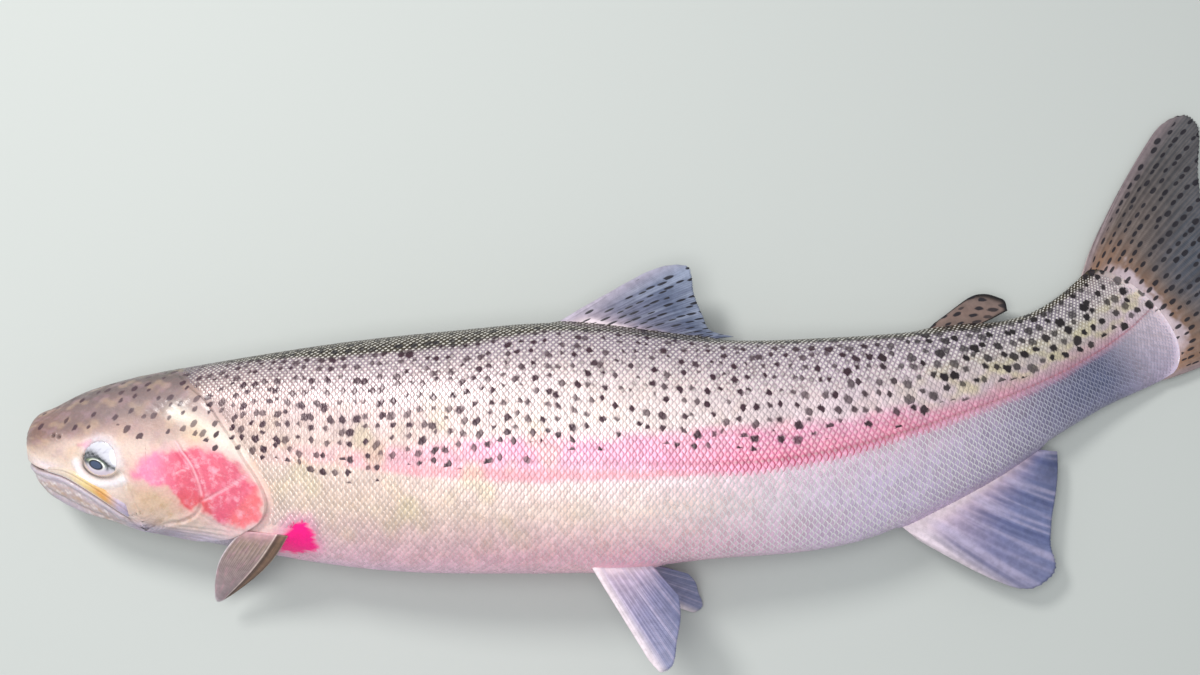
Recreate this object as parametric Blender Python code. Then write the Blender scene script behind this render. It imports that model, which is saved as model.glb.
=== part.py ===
"""A life-size rainbow trout, as a still model, on its right side with its tail curved towards its back.

Metres, +Z up. The snout points to -X, the back to +Y and the left flank up. The origin is on the surface
the fish lies on, under the middle of its bounding box. Body sizes are shares of the standard length, which
runs from the snout to the root of the tail fin. A place on the body is given as
    along   distance from the snout, along the spine
    height  distance from the spine towards the back
    out     distance from the spine towards the left flank
and as a turn round the body, from 0 at the back over 90 at the left flank to 180 degrees at the belly.
"""

import math

import bmesh
import bpy
from mathutils import Vector

# Driving dimensions
STANDARD_LENGTH = 0.628
SNOUT = (-0.37088, -0.03562)  # where the spine starts, in x and y
GAP = 0.0004  # clearance between neighbouring pieces

# Spine: its direction in degrees towards the back, and its height over the floor in metres
SPINE_TURN = [(0.0, 0), (0.57, 0), (0.66, 5), (0.78, 14), (0.91, 24), (0.98, 34), (1.03, 42), (1.3, 42)]
SPINE_LIFT = [(0.0, 0.0295), (0.20, 0.0312), (0.40, 0.0368), (0.55, 0.0360), (0.70, 0.0288), (0.85, 0.0172),
              (1.0, 0.0066), (1.10, 0.0036), (1.3, 0.0026)]

# Outline of the body: share of the length, then share of the length above or beside the spine
BACK_LINE = [(0.0, 0.004), (0.0097, 0.0265), (0.027, 0.0345), (0.045, 0.044), (0.0975, 0.0600),
             (0.133, 0.0670), (0.203, 0.0790), (0.282, 0.0905), (0.376, 0.1000), (0.460, 0.1065),
             (0.595, 0.0930), (0.731, 0.0850), (0.838, 0.0710), (0.93, 0.0565), (1.0, 0.0615),
             (1.03, 0.0640)]
BELLY_LINE = [(0.0, 0.004), (0.007, -0.022), (0.015, -0.035), (0.046, -0.057), (0.091, -0.071),
              (0.175, -0.087), (0.242, -0.0995), (0.332, -0.1095), (0.421, -0.111), (0.510, -0.109),
              (0.595, -0.0990), (0.731, -0.0915), (0.784, -0.0790), (0.838, -0.0670), (0.891, -0.0540),
              (0.94, -0.0490), (1.0, -0.0580), (1.03, -0.0625)]
HALF_WIDTH = [(0.0, 0.0), (0.011, 0.0165), (0.046, 0.0280), (0.064, 0.0335), (0.10, 0.0405), (0.15, 0.0470),
              (0.20, 0.0510), (0.25, 0.0545), (0.33, 0.0590), (0.42, 0.0610), (0.52, 0.0590), (0.62, 0.0530),
              (0.72, 0.0440), (0.80, 0.0345), (0.88, 0.0245), (0.945, 0.0170), (1.0, 0.0085), (1.04, 0.0036)]
SQUARENESS = [(0.0, 2.0), (0.06, 2.25), (0.16, 2.35), (0.35, 2.2), (0.7, 2.05), (1.04, 2.0)]
HIGH_SHOULDER = [(0.0, 0.0), (0.06, 0.06), (0.15, 0.10), (0.30, 0.02), (0.5, -0.04), (0.8, 0.03),
                 (1.04, 0.0)]
# Rear edge of the gill covers, by turn round the body in degrees, where the head ends and the trunk starts
GILL_EDGE = [(0, 0.132), (30, 0.138), (48, 0.150), (62, 0.166), (80, 0.183), (90, 0.196), (104, 0.213),
             (117, 0.2195), (128, 0.2150), (140, 0.200), (152, 0.184), (168, 0.152), (180, 0.122)]
HEAD_CENTRE = 0.184  # where the head's rear face meets the spine
STEM_START, STEM_END, STEM_BULGE = 0.700, 1.0, 0.036  # the tail stem's rear edge bulges into the tail fin

# Head pieces
MOUTH_LINE = [(0.0, -0.019), (0.015, -0.021), (0.029, -0.0245), (0.040, -0.028), (0.056, -0.036),
              (0.075, -0.048), (0.088, -0.057), (0.112, -0.073), (0.125, -0.092)]
MOUTH_END = 0.125
JAW_BONE = [(0.024, 0.004), (0.036, 0.008), (0.055, 0.0115), (0.075, 0.0125), (0.088, 0.0110),
            (0.0935, 0.006)]
JAW_BONE_DEPTH, JAW_BONE_RISE = 0.0022, 0.0022
GILL_COVER_FRONT = [(60, 0.130), (92, 0.135), (107, 0.146), (124, 0.150), (150, 0.138)]
GILL_COVER_DEPTH = 0.0024
EYE_ALONG, EYE_HEIGHT, EYE_RADIUS, EYE_DOME, EYE_DEPTH = 0.0745, -0.0125, 0.0094, 0.0030, 0.0052

AROUND = 36  # faces round the body
SPINE_STEP, SPINE_STEPS = 0.0025, 520
SPINE = []  # filled when first needed


def curve(points, x, root=False):
    """Height at x of a smooth curve that never passes its points. With root, x 0 is a blunt nose."""
    warp = math.sqrt if root else float
    xs = [warp(p[0]) for p in points]
    ys = [p[1] for p in points]
    x = min(max(warp(max(x, 0.0)), xs[0]), xs[-1])
    i = max(k for k in range(len(xs) - 1) if xs[k] <= x)
    step = [(ys[k + 1] - ys[k]) / (xs[k + 1] - xs[k]) for k in range(len(xs) - 1)]

    def slope(k):
        if k == 0 or k == len(xs) - 1:
            return step[0] if k == 0 else step[-1]
        if step[k - 1] * step[k] <= 0:
            return 0.0
        before, after = xs[k] - xs[k - 1], xs[k + 1] - xs[k]
        return (step[k - 1] * after + step[k] * before) / (before + after)

    width = xs[i + 1] - xs[i]
    t = (x - xs[i]) / width
    return (ys[i] * (1 + 2 * t) * (1 - t) ** 2 + ys[i + 1] * t * t * (3 - 2 * t)
            + width * (slope(i) * t * (1 - t) ** 2 - slope(i + 1) * t * t * (1 - t)))


def lay_spine():
    """Points of the spine at short equal steps, with its direction there in radians."""
    points, x, y = [], 0.0, 0.0
    for i in range(SPINE_STEPS + 1):
        turn = math.radians(curve(SPINE_TURN, (i - 0.5) * SPINE_STEP))
        if i:
            x, y = x + SPINE_STEP * math.cos(turn), y + SPINE_STEP * math.sin(turn)
        points.append((x, y, math.radians(curve(SPINE_TURN, i * SPINE_STEP))))
    return points


def place(along, out, height):
    """World point of a place on the body. All three are shares of the standard length."""
    if not SPINE:
        SPINE.extend(lay_spine())
    i = min(max(int(along / SPINE_STEP), 0), SPINE_STEPS - 1)
    share = along / SPINE_STEP - i
    x, y, turn = (a + (b - a) * share for a, b in zip(SPINE[i], SPINE[i + 1]))
    z = curve(SPINE_LIFT, along) + out * STANDARD_LENGTH
    return Vector((SNOUT[0] + (x - height * math.sin(turn)) * STANDARD_LENGTH,
                   SNOUT[1] + (y + height * math.cos(turn)) * STANDARD_LENGTH, z))


def section(along):
    """(middle height, half depth, half width, squareness, high shoulder) of the body's outline there."""
    back, belly = curve(BACK_LINE, along, True), curve(BELLY_LINE, along, True)
    return ((back + belly) / 2, (back - belly) / 2, curve(HALF_WIDTH, along, True),
            curve(SQUARENESS, along), curve(HIGH_SHOULDER, along))


def skin(along, degrees, grow=0.0):
    """World point on the body's surface at a turn round it. grow, in metres, moves it outwards."""
    middle, depth, width, square, shoulder = section(along)
    more = grow / STANDARD_LENGTH
    c, s = math.cos(math.radians(degrees)), math.sin(math.radians(degrees))
    t = math.copysign(abs(c) ** (2 / square), c)
    out = (width + more) * math.copysign(abs(s) ** (2 / square), s) * (1 + shoulder * t)
    return place(along, out, middle + (depth + more) * t)


def flank(along, height, grow=0.0):
    """How far out the surface is at a height, as a share of the length."""
    middle, depth, width, square, shoulder = section(along)
    more = grow / STANDARD_LENGTH
    t = min(max((height - middle) / (depth + more), -1.0), 1.0)
    return (width + more) * (1 - abs(t) ** square) ** (1 / square) * (1 + shoulder * t)


def gill_edge(degrees):
    return curve(GILL_EDGE, abs((degrees + 180) % 360 - 180))


def material(name, colour, roughness, metallic=0.0):
    made = bpy.data.materials.get(name) or bpy.data.materials.new(name)
    made.use_nodes = True
    shader = made.node_tree.nodes["Principled BSDF"]
    shader.inputs["Base Color"].default_value = (*colour, 1.0)
    shader.inputs["Roughness"].default_value = roughness
    shader.inputs["Metallic"].default_value = metallic
    return made


def add_object(name, vertices, faces, finish=None, rests=False):
    """A closed mesh with its faces pointing out. Flesh that rests is pressed flat on the floor."""
    mesh = bpy.data.meshes.new(name)
    mesh.from_pydata([Vector((v.x, v.y, max(v.z, 0.0))) if rests else v for v in vertices], [], faces)
    work = bmesh.new()
    work.from_mesh(mesh)
    bmesh.ops.triangulate(work, faces=work.faces)
    bmesh.ops.recalc_face_normals(work, faces=work.faces)
    work.to_mesh(mesh)
    work.free()
    made = bpy.data.objects.new(name, mesh)
    bpy.context.scene.collection.objects.link(made)
    if finish:
        mesh.materials.append(finish)
        mesh.shade_smooth()
        mesh.set_sharp_from_angle(angle=math.radians(40))
    return made


def loft(name, rings, start, end, finish=None, rests=False):
    """A closed skin over rings of points. Each end is a fan to its point, or bridged across without one."""
    count = len(rings[0])
    last = 1 + (len(rings) - 1) * count
    vertices = [start, *[p for ring in rings for p in ring]] + ([end] if end else [])
    faces = []
    for k in range(count):
        after = (k + 1) % count
        faces.append((0, 1 + after, 1 + k))
        for r in range(len(rings) - 1):
            a, b = 1 + r * count, 1 + (r + 1) * count
            faces.append((a + k, a + after, b + after, b + k))
        if end:
            faces.append((last + k, last + after, len(vertices) - 1))
    if not end:
        faces.append((last, last + 1, last + count - 1))
        faces += [(last + k, last + k + 1, last + count - k - 1, last + count - k)
                  for k in range(1, count // 2 - 1)]
        faces.append((last + count // 2 - 1, last + count // 2, last + count // 2 + 1))
    return add_object(name, vertices, faces, finish, rests)


def plate(name, point, columns, rows, finish=None, rests=False):
    """A closed sheet. point(t, r, side) gives its two faces, with side 1 or -1, and t and r from 0 to 1."""
    wide, tall = columns + 1, rows + 1
    vertices = [point(i / columns, j / rows, side)
                for side in (1, -1) for j in range(tall) for i in range(wide)]
    back = wide * tall
    faces = []
    for j in range(rows):
        for i in range(columns):
            a = j * wide + i
            faces.append((a, a + 1, a + wide + 1, a + wide))
            faces.append((back + a, back + a + wide, back + a + wide + 1, back + a + 1))
    rim = ([i for i in range(columns)] + [j * wide + columns for j in range(rows)]
           + [rows * wide + i for i in range(columns, 0, -1)] + [j * wide for j in range(rows, 0, -1)])
    for k, a in enumerate(rim):
        b = rim[(k + 1) % len(rim)]
        faces.append((a, back + a, back + b, b))
    return add_object(name, vertices, faces, finish, rests)


def cut(target, cutter, operation="DIFFERENCE"):
    """Cuts target with a closed shape and removes the shape."""
    modifier = target.modifiers.new("cut", "BOOLEAN")
    modifier.operation = operation
    modifier.solver = "EXACT"
    modifier.object = cutter
    bpy.context.view_layer.update()
    evaluated = target.evaluated_get(bpy.context.evaluated_depsgraph_get())
    result = bpy.data.meshes.new_from_object(evaluated)
    target.modifiers.clear()
    target.data = result
    bpy.data.objects.remove(cutter)


def body_rings(start, end, steps, grow=0.0):
    """Rings of points round the body. start and end give where the first and last lie, by turn."""
    turns = [360 * k / AROUND for k in range(AROUND)]
    return [[skin(start(d) + (end(d) - start(d)) * share, d, grow) for d in turns] for share in steps]


def build_head(finish):
    """Head up to the gill edge, before its pieces are taken out."""
    steps = [(i / 20) ** 1.6 for i in range(1, 21)]
    rings = body_rings(lambda d: 0.0, gill_edge, steps)
    return loft("head", rings, place(0.0, 0.0, 0.006), place(HEAD_CENTRE, 0.0, 0.0), finish, True)


def build_trunk(finish):
    """Trunk from under the gill covers to the tail stem."""
    gap = 1.4 * GAP / STANDARD_LENGTH
    rings = body_rings(lambda d: gill_edge(d) + gap, lambda d: STEM_START, [i / 18 for i in range(19)])
    return loft("trunk", rings, place(HEAD_CENTRE + gap, 0.0, 0.0), place(STEM_START, 0.0, 0.0),
                finish, True)


def stem_edge(degrees):
    """Rear edge of the tail stem, by turn round the body."""
    return STEM_END + STEM_BULGE * abs(math.sin(math.radians(degrees)))


def build_tail_stem(finish):
    """Tail stem, flattening into a thin rounded edge that carries the tail fin."""
    gap = GAP / STANDARD_LENGTH
    rings = body_rings(lambda d: STEM_START + gap, stem_edge, [i / 13 for i in range(14)])
    return loft("tail_stem", rings, place(STEM_START + gap, 0.0, 0.0), None, finish, True)


def clearance_body():
    """The whole body, a gap larger all round: it shapes the roots of the fins."""
    rings = body_rings(lambda d: 0.004, lambda d: STEM_END, [i / 44 for i in range(45)], GAP)
    return loft("clearance", rings, place(0.002, 0.0, 0.006), place(STEM_END, 0.0, 0.0))


def take_out(head, name, cutter, finish):
    """Parts a piece from the head. cutter(spare) gives the closed shape round it, larger by spare metres."""
    piece = head.copy()
    piece.data = head.data.copy()
    piece.name = name
    bpy.context.scene.collection.objects.link(piece)
    cut(piece, cutter(0.0), "INTERSECT")
    cut(head, cutter(GAP))
    piece.data.materials.clear()
    piece.data.materials.append(finish)


def below_mouth(spare):
    """Everything below the mouth line, as far back as the end of the jaw."""
    steps = 10
    more = spare / STANDARD_LENGTH
    line = [MOUTH_END * (i / steps) - (0.02 if i == 0 else 0.0) for i in range(steps + 1)]
    outline = [(a, curve(MOUTH_LINE, a) + more) for a in line]
    outline += [(MOUTH_END + more, curve(MOUTH_LINE, MOUTH_END) + more), (MOUTH_END + more, -0.13),
                (-0.02, -0.13)]
    vertices = [place(a, out, h) for out in (-0.08, 0.08) for a, h in outline]
    count = len(outline)
    faces = [tuple(range(count)), tuple(range(2 * count - 1, count - 1, -1))]
    faces += [(k, k + count, (k + 1) % count + count, (k + 1) % count) for k in range(count)]
    return add_object("cutter", vertices, faces)


def round_jaw_bone(side, spare):
    """A narrow shell in the flank of the head, just above the mouth line."""
    more = spare / STANDARD_LENGTH
    first, last = JAW_BONE[0][0] - more, JAW_BONE[-1][0] + more

    def point(t, r, face):
        along = first + (last - first) * t
        height = curve(MOUTH_LINE, along) + JAW_BONE_RISE - more + (curve(JAW_BONE, along) + 2 * more) * r
        reach = 0.003 if face > 0 else -JAW_BONE_DEPTH - spare
        return place(along, side * flank(along, height, reach), height)

    return plate("cutter", point, 9, 3)


def round_gill_cover(side, spare):
    """A shell in the flank of the head, from the cheek to past the gill edge."""
    first, last = GILL_COVER_FRONT[0][0] - 400 * spare, GILL_COVER_FRONT[-1][0] + 400 * spare

    def point(t, r, face):
        degrees = first + (last - first) * r
        front = curve(GILL_COVER_FRONT, degrees) - spare / STANDARD_LENGTH
        along = front + (1.1 * gill_edge(degrees) - front) * t
        return skin(along, side * degrees, 0.003 if face > 0 else -GILL_COVER_DEPTH - spare)

    return plate("cutter", point, 7, 9)


def eye(name, side, spare, finish=None):
    """Eyeball: a short round plug under a low dome. The plug is what makes room for it, larger by spare."""
    around = 24
    top = EYE_DEPTH if spare else 0.0006
    profile = [(EYE_RADIUS + spare, -EYE_DEPTH - spare), (EYE_RADIUS + spare, top)]
    if not spare:
        profile += [(EYE_RADIUS * math.cos(math.radians(a)), EYE_DOME * math.sin(math.radians(a)))
                    for a in (25, 50, 72)]
        top = EYE_DOME
    middle = place(EYE_ALONG, side * flank(EYE_ALONG, EYE_HEIGHT), EYE_HEIGHT)
    turns = [2 * math.pi * k / around for k in range(around)]
    rings = [[middle + Vector((r * math.cos(a), r * math.sin(a), side * rise)) for a in turns]
             for r, rise in profile]
    return loft(name, rings, middle - Vector((0, 0, side * (EYE_DEPTH + spare))),
                middle + Vector((0, 0, side * top)), finish)


def build_head_pieces(head, finishes):
    """Parts the jaws, gill covers and eyes from the head."""
    take_out(head, "lower_jaw", below_mouth, finishes["jaw"])
    for label, side in (("left", 1), ("right", -1)):
        take_out(head, "maxilla_" + label, lambda spare: round_jaw_bone(side, spare), finishes["jaw"])
        take_out(head, "gill_cover_" + label, lambda spare: round_gill_cover(side, spare), finishes["cheek"])
        cut(head, eye("cutter", side, GAP))
        eye("eye_" + label, side, 0.0, finishes["eye"])


def ray_fin(name, root, angles, lengths, bend, thick, sway, finish, clearance, columns=12, rows=5):
    """A fin on the middle line. Its rays start at root(t), and their angles, lengths and bend follow t."""
    def point(share, r, side):
        t = share ** 1.5 if clearance else share
        along, height = root(t)
        angle = math.radians(curve(angles, t) + curve(bend, t) * r)
        reach = curve(lengths, t) * r
        half = (thick[0] + (thick[1] - thick[0]) * r) / 2 / STANDARD_LENGTH
        out = curve(sway, r) + side * half
        return place(along + reach * math.cos(angle), out, height + reach * math.sin(angle))

    made = plate(name, point, columns, rows, finish)
    if clearance:
        cut(made, clearance_body())
    return made


ROOT_DEPTH = 0.004  # how far a fin's root starts inside the body's outline, before it is trimmed
DORSAL = dict(start=0.458, end=0.590,
              angles=[(0, 34), (0.06, 34), (0.13, 29), (0.2, 28), (0.35, 26), (0.6, 21), (1, 15)],
              lengths=[(0, 0.018), (0.03, 0.052), (0.06, 0.083), (0.09, 0.106), (0.13, 0.118), (0.2, 0.110),
                       (0.35, 0.088), (0.6, 0.059), (0.8, 0.038), (1, 0.034)])
ADIPOSE = dict(start=0.812, end=0.860,
               angles=[(0, 27), (0.5, 23), (0.75, 14), (1, 5)],
               lengths=[(0, 0.016), (0.25, 0.046), (0.5, 0.054), (0.75, 0.055), (1, 0.042)])
ANAL = dict(start=0.746, end=0.872,
            angles=[(0, -53), (0.13, -53), (0.2, -49), (0.4, -46), (0.7, -48), (1, -36)],
            lengths=[(0, 0.022), (0.03, 0.052), (0.06, 0.084), (0.09, 0.104), (0.13, 0.114), (0.2, 0.120),
                     (0.35, 0.097), (0.5, 0.079), (0.75, 0.053), (1, 0.024)])
CAUDAL_ANGLES = [(0, 28), (0.056, 28), (0.111, 25), (0.3, 14), (0.5, 0), (0.7, -14), (0.889, -25),
                 (0.944, -28), (1, -28)]
CAUDAL_BEND = [(0, -6), (0.056, -7), (0.111, -9), (0.3, -5), (0.5, 0), (0.7, 5), (0.889, 9), (0.944, 7),
               (1, 6)]
CAUDAL_LENGTHS = [(0, 0.080), (0.056, 0.146), (0.111, 0.172), (0.167, 0.166), (0.3, 0.118), (0.5, 0.074),
                  (0.7, 0.118), (0.833, 0.166), (0.889, 0.172), (0.944, 0.146), (1, 0.080)]


def build_middle_fins(finishes):
    def root_on(line, fin, inward):
        return lambda t: (fin["start"] + (fin["end"] - fin["start"]) * t,
                          curve(line, fin["start"] + (fin["end"] - fin["start"]) * t, True) - inward)

    still = [(0, 0.0), (1, 0.0)]
    ray_fin("fin_dorsal", root_on(BACK_LINE, DORSAL, ROOT_DEPTH), DORSAL["angles"], DORSAL["lengths"],
            [(0, 0), (1, -6)], (0.0022, 0.0007), [(0, 0), (0.6, 0.0), (1, -0.004)], finishes["fin"], True)
    ray_fin("fin_adipose", root_on(BACK_LINE, ADIPOSE, ROOT_DEPTH), ADIPOSE["angles"], ADIPOSE["lengths"],
            [(0, 0), (1, 0)], (0.0034, 0.0014), still, finishes["back"], True, 8, 5)
    ray_fin("fin_anal", root_on(BELLY_LINE, ANAL, -ROOT_DEPTH), ANAL["angles"], ANAL["lengths"],
            [(0, 0), (1, 6)], (0.0024, 0.0007), [(0, 0), (0.5, 0.0), (1, -0.006)], finishes["pale_fin"],
            True)

    def tail_root(t):
        along = stem_edge(180 * t) + GAP / STANDARD_LENGTH
        middle, depth = section(along)[:2]
        return along, middle + depth * math.cos(math.pi * t)

    ray_fin("fin_caudal", tail_root, CAUDAL_ANGLES, CAUDAL_LENGTHS, CAUDAL_BEND, (0.0030, 0.0007), still,
            finishes["fin"], False, AROUND // 2, 6)


def paired_fin(name, root, first, last, lengths, curl, thick, finish, bow=0.0):
    """A fin on a flank. Its rays fan from direction first to direction last, along the root's chord.

    curl lifts its middle, and bow spreads the rays halfway along by that share of the chord."""
    start, end = [Vector(p) for p in root]
    first, last = Vector(first).normalized(), Vector(last).normalized()
    normal = first.cross(last).normalized()

    def point(t, r, face):
        direction = first.slerp(last, t)
        reach = curve(lengths, t)
        half = (thick[0] + (thick[1] - thick[0]) * r) / 2
        base = start.lerp(end, t) - direction * 0.004
        lift = face * half + curl * r * r * math.sin(math.pi * t)
        spread = (end - start) * bow * (t - 0.5) * math.sin(math.pi * r)
        return base + direction * (reach + 0.004) * r + normal * lift + spread

    made = plate(name, point, 8, 6, finish)
    cut(made, clearance_body())
    return made


def on_flank(along, height, side):
    return place(along, side * flank(along, height), height)


PECTORAL_LENGTHS = [(0, 0.060), (0.15, 0.061), (0.5, 0.057), (0.8, 0.0495), (1, 0.0425)]
PELVIC_LENGTHS = [(0, 0.060), (0.05, 0.068), (0.2, 0.066), (0.5, 0.050), (0.8, 0.034), (1, 0.022)]


def build_paired_fins(finishes):
    paired_fin("fin_pectoral_left", (on_flank(0.2335, -0.0815, 1), on_flank(0.194, -0.0780, 1)),
               (-0.60, -0.52, -0.61), (-0.43, -0.66, -0.62), PECTORAL_LENGTHS, 0.003, (0.0026, 0.0007),
               finishes["pale_fin"], 0.34)
    paired_fin("fin_pectoral_right", (on_flank(0.228, -0.066, -1), on_flank(0.244, -0.076, -1)),
               (0.99, -0.10, -0.07), (0.92, -0.38, -0.01), PECTORAL_LENGTHS, 0.0, (0.0024, 0.0007),
               finishes["pale_fin"])
    for side, first, last, curl in ((1, (0.53, -0.85, 0.06), (0.66, -0.75, 0.04), 0.003),
                                    (-1, (0.84, -0.42, -0.32), (0.93, -0.25, -0.27), -0.002)):
        paired_fin("fin_pelvic_left" if side > 0 else "fin_pelvic_right",
                   (on_flank(0.494, -0.104, side), on_flank(0.546, -0.103, side)),
                   first, last, PELVIC_LENGTHS, curl, (0.0026, 0.0007), finishes["pale_fin"])


def build():
    for old in list(bpy.data.objects):
        bpy.data.objects.remove(old)
    finishes = {
        "back": material("spotted_back", (0.42, 0.37, 0.33), 0.35),
        "flank": material("silver_flank", (0.72, 0.62, 0.60), 0.30),
        "cheek": material("pink_cheek", (0.80, 0.22, 0.27), 0.35),
        "jaw": material("pale_jaw", (0.76, 0.68, 0.58), 0.35),
        "fin": material("spotted_fin", (0.45, 0.42, 0.44), 0.40),
        "pale_fin": material("pale_fin", (0.72, 0.62, 0.68), 0.40),
        "eye": material("eye", (0.20, 0.24, 0.26), 0.08),
    }
    head = build_head(finishes["back"])
    build_head_pieces(head, finishes)
    build_trunk(finishes["flank"])
    build_tail_stem(finishes["flank"])
    build_middle_fins(finishes)
    build_paired_fins(finishes)


build()
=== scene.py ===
"""Looks of the life-size rainbow trout: one skin over its flesh, solid scales, rayed fins and wet eyes.

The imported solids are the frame. The body has the named sizes of those solids, and its skin lies just inside
them. A place on the body is given by along (distance from the snout), turn (degrees round the body: 0 at the
back, 90 at the left flank, -90 at the right one and 180 at the belly) and lift (millimetres off the skin).
Places and outlines are shares of LENGTH, and surface detail is in millimetres.
"""

import bpy
import numpy as np
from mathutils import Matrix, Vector


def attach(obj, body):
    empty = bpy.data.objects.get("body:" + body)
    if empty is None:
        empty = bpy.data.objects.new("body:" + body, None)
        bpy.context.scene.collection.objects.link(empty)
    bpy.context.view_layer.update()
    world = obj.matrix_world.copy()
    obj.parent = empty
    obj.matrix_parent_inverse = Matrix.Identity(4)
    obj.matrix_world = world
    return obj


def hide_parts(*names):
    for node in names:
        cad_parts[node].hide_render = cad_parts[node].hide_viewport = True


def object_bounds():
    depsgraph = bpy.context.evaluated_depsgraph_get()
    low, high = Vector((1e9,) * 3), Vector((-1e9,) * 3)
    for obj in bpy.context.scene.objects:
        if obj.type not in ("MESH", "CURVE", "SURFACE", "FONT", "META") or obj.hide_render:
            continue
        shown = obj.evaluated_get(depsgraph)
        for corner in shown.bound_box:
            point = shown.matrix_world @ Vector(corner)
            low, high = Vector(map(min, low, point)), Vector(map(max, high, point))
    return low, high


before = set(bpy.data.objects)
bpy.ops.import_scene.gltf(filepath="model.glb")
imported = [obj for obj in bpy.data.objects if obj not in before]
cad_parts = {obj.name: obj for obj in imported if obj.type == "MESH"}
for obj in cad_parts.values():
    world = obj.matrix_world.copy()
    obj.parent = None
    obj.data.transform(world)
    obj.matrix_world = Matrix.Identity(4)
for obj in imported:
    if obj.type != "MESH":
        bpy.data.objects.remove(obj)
CAD_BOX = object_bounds()
rng = np.random.default_rng(7)

# ---- sizes shared with the solids

LENGTH = 0.628
MM = 0.001
FISH_MM = LENGTH / MM  # the length in millimetres
SNOUT = (CAD_BOX[0][0], -0.03562)
SPINE_TURN = [(0, 0), (0.57, 0), (0.66, 5), (0.78, 14), (0.91, 24), (0.98, 34), (1.03, 42), (1.3, 42)]
SPINE_LIFT = [
    (0, 0.0295), (0.2, 0.0312), (0.4, 0.0368), (0.55, 0.036), (0.7, 0.0288), (0.85, 0.0172), (1, 0.0066),
    (1.1, 0.0036), (1.3, 0.0026)]
BACK_LINE = [
    (0, 0.004), (0.0097, 0.0265), (0.027, 0.0345), (0.045, 0.044), (0.0975, 0.06), (0.133, 0.067),
    (0.203, 0.079), (0.282, 0.0905), (0.376, 0.1), (0.46, 0.1065), (0.595, 0.093), (0.731, 0.085),
    (0.838, 0.071), (0.93, 0.0565), (1, 0.0615), (1.03, 0.064)]
BELLY_LINE = [
    (0, 0.004), (0.007, -0.022), (0.015, -0.035), (0.046, -0.057), (0.091, -0.071), (0.175, -0.087),
    (0.242, -0.0995), (0.332, -0.1095), (0.421, -0.111), (0.51, -0.109), (0.595, -0.099), (0.731, -0.0915),
    (0.784, -0.079), (0.838, -0.067), (0.891, -0.054), (0.94, -0.049), (1, -0.058), (1.03, -0.0625)]
HALF_WIDTH = [
    (0, 0), (0.011, 0.0165), (0.046, 0.028), (0.064, 0.0335), (0.1, 0.0405), (0.15, 0.047), (0.2, 0.051),
    (0.25, 0.0545), (0.33, 0.059), (0.42, 0.061), (0.52, 0.059), (0.62, 0.053), (0.72, 0.044), (0.8, 0.0345),
    (0.88, 0.0245), (0.945, 0.017), (1, 0.0085), (1.04, 0.0036)]
SQUARENESS = [(0, 2), (0.06, 2.25), (0.16, 2.35), (0.35, 2.2), (0.7, 2.05), (1.04, 2)]
HIGH_SHOULDER = [(0, 0), (0.06, 0.06), (0.15, 0.1), (0.3, 0.02), (0.5, -0.04), (0.8, 0.03), (1.04, 0)]
GILL_EDGE = [
    (0, 0.132), (30, 0.138), (48, 0.15), (62, 0.166), (80, 0.183), (90, 0.196), (104, 0.213), (117, 0.2195),
    (128, 0.215), (140, 0.2), (152, 0.184), (168, 0.152), (180, 0.122)]
MOUTH_LINE = [
    (0, -0.0125), (0.006, -0.016), (0.015, -0.0205), (0.029, -0.0245), (0.04, -0.028), (0.056, -0.0365),
    (0.075, -0.0485), (0.088, -0.0575), (0.097, -0.0635), (0.125, -0.092)]
STEM_END, STEM_BULGE = 1.0, 0.036
EYE_ALONG, EYE_HEIGHT = 0.0745, -0.0125

# ---- places and shapes of the living surface

MOUTH_CORNER = 0.096
LATERAL_LINE = [
    (0, 0), (0.1, -0.004), (0.215, -0.0078), (0.284, -0.0122), (0.4, -0.0158), (0.58, -0.018),
    (0.65, -0.0165), (0.713, -0.0126), (0.78, -0.0072), (0.88, -0.0035), (1.05, -0.002)]
NOSTRILS = [(0.03, 0.0075), (0.0355, 0.0062)]
PREOPERCLE = [
    (0.1405, 0.004), (0.1468, -0.0066), (0.1556, -0.0185), (0.1623, -0.0353), (0.1644, -0.0471),
    (0.159, -0.059), (0.145, -0.066), (0.125, -0.068)]
SUTURE = [(0.1616, -0.0504), (0.1804, -0.0412), (0.2005, -0.0295), (0.207, -0.024)]
LOWER_SUTURE = [(0.159, -0.059), (0.172, -0.0665), (0.188, -0.073), (0.203, -0.0745)]
CHEEK_FOLD = [(0.093, -0.02), (0.098, -0.034), (0.103, -0.048), (0.108, -0.06)]
JAW_FOLD = [(0.02, -0.036), (0.045, -0.049), (0.07, -0.06), (0.1, -0.07)]
CHEEK_BRANCH = [(0.1416, -0.026), (0.1547, -0.0202)]
# Grooves of the head: line, depth, half width and height of the shoulders, in mm
GROOVES = [
    (PREOPERCLE, 1, 0.8, 0.45), (SUTURE, 0.5, 0.6, 0.15), (LOWER_SUTURE, 0.5, 0.7, 0),
    (CHEEK_FOLD, 0.6, 0.9, 0.3), (JAW_FOLD, 0.5, 0.7, 0.2), (CHEEK_BRANCH, 0.2, 0.5, 0)]
RED_PATCH = [
    (0.1018, -0.0259), (0.1152, -0.0107), (0.1293, -0.0066), (0.1415, -0.0049), (0.1624, -0.0033),
    (0.185, -0.0102), (0.1989, -0.0186), (0.2035, -0.027), (0.2126, -0.0354), (0.2174, -0.0505),
    (0.2149, -0.0639), (0.1904, -0.0715), (0.1677, -0.0614), (0.1604, -0.0546), (0.1513, -0.058),
    (0.1424, -0.0487), (0.1351, -0.0386), (0.115, -0.0335)]
ARMPIT = [
    (0.2399, -0.0689), (0.253, -0.0672), (0.2592, -0.0773), (0.2624, -0.0884), (0.2457, -0.0928),
    (0.228, -0.09)]
CREAM_LINE = [(0.14, 0.026), (0.162, 0.016), (0.182, 0.002), (0.198, -0.013)]
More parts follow.
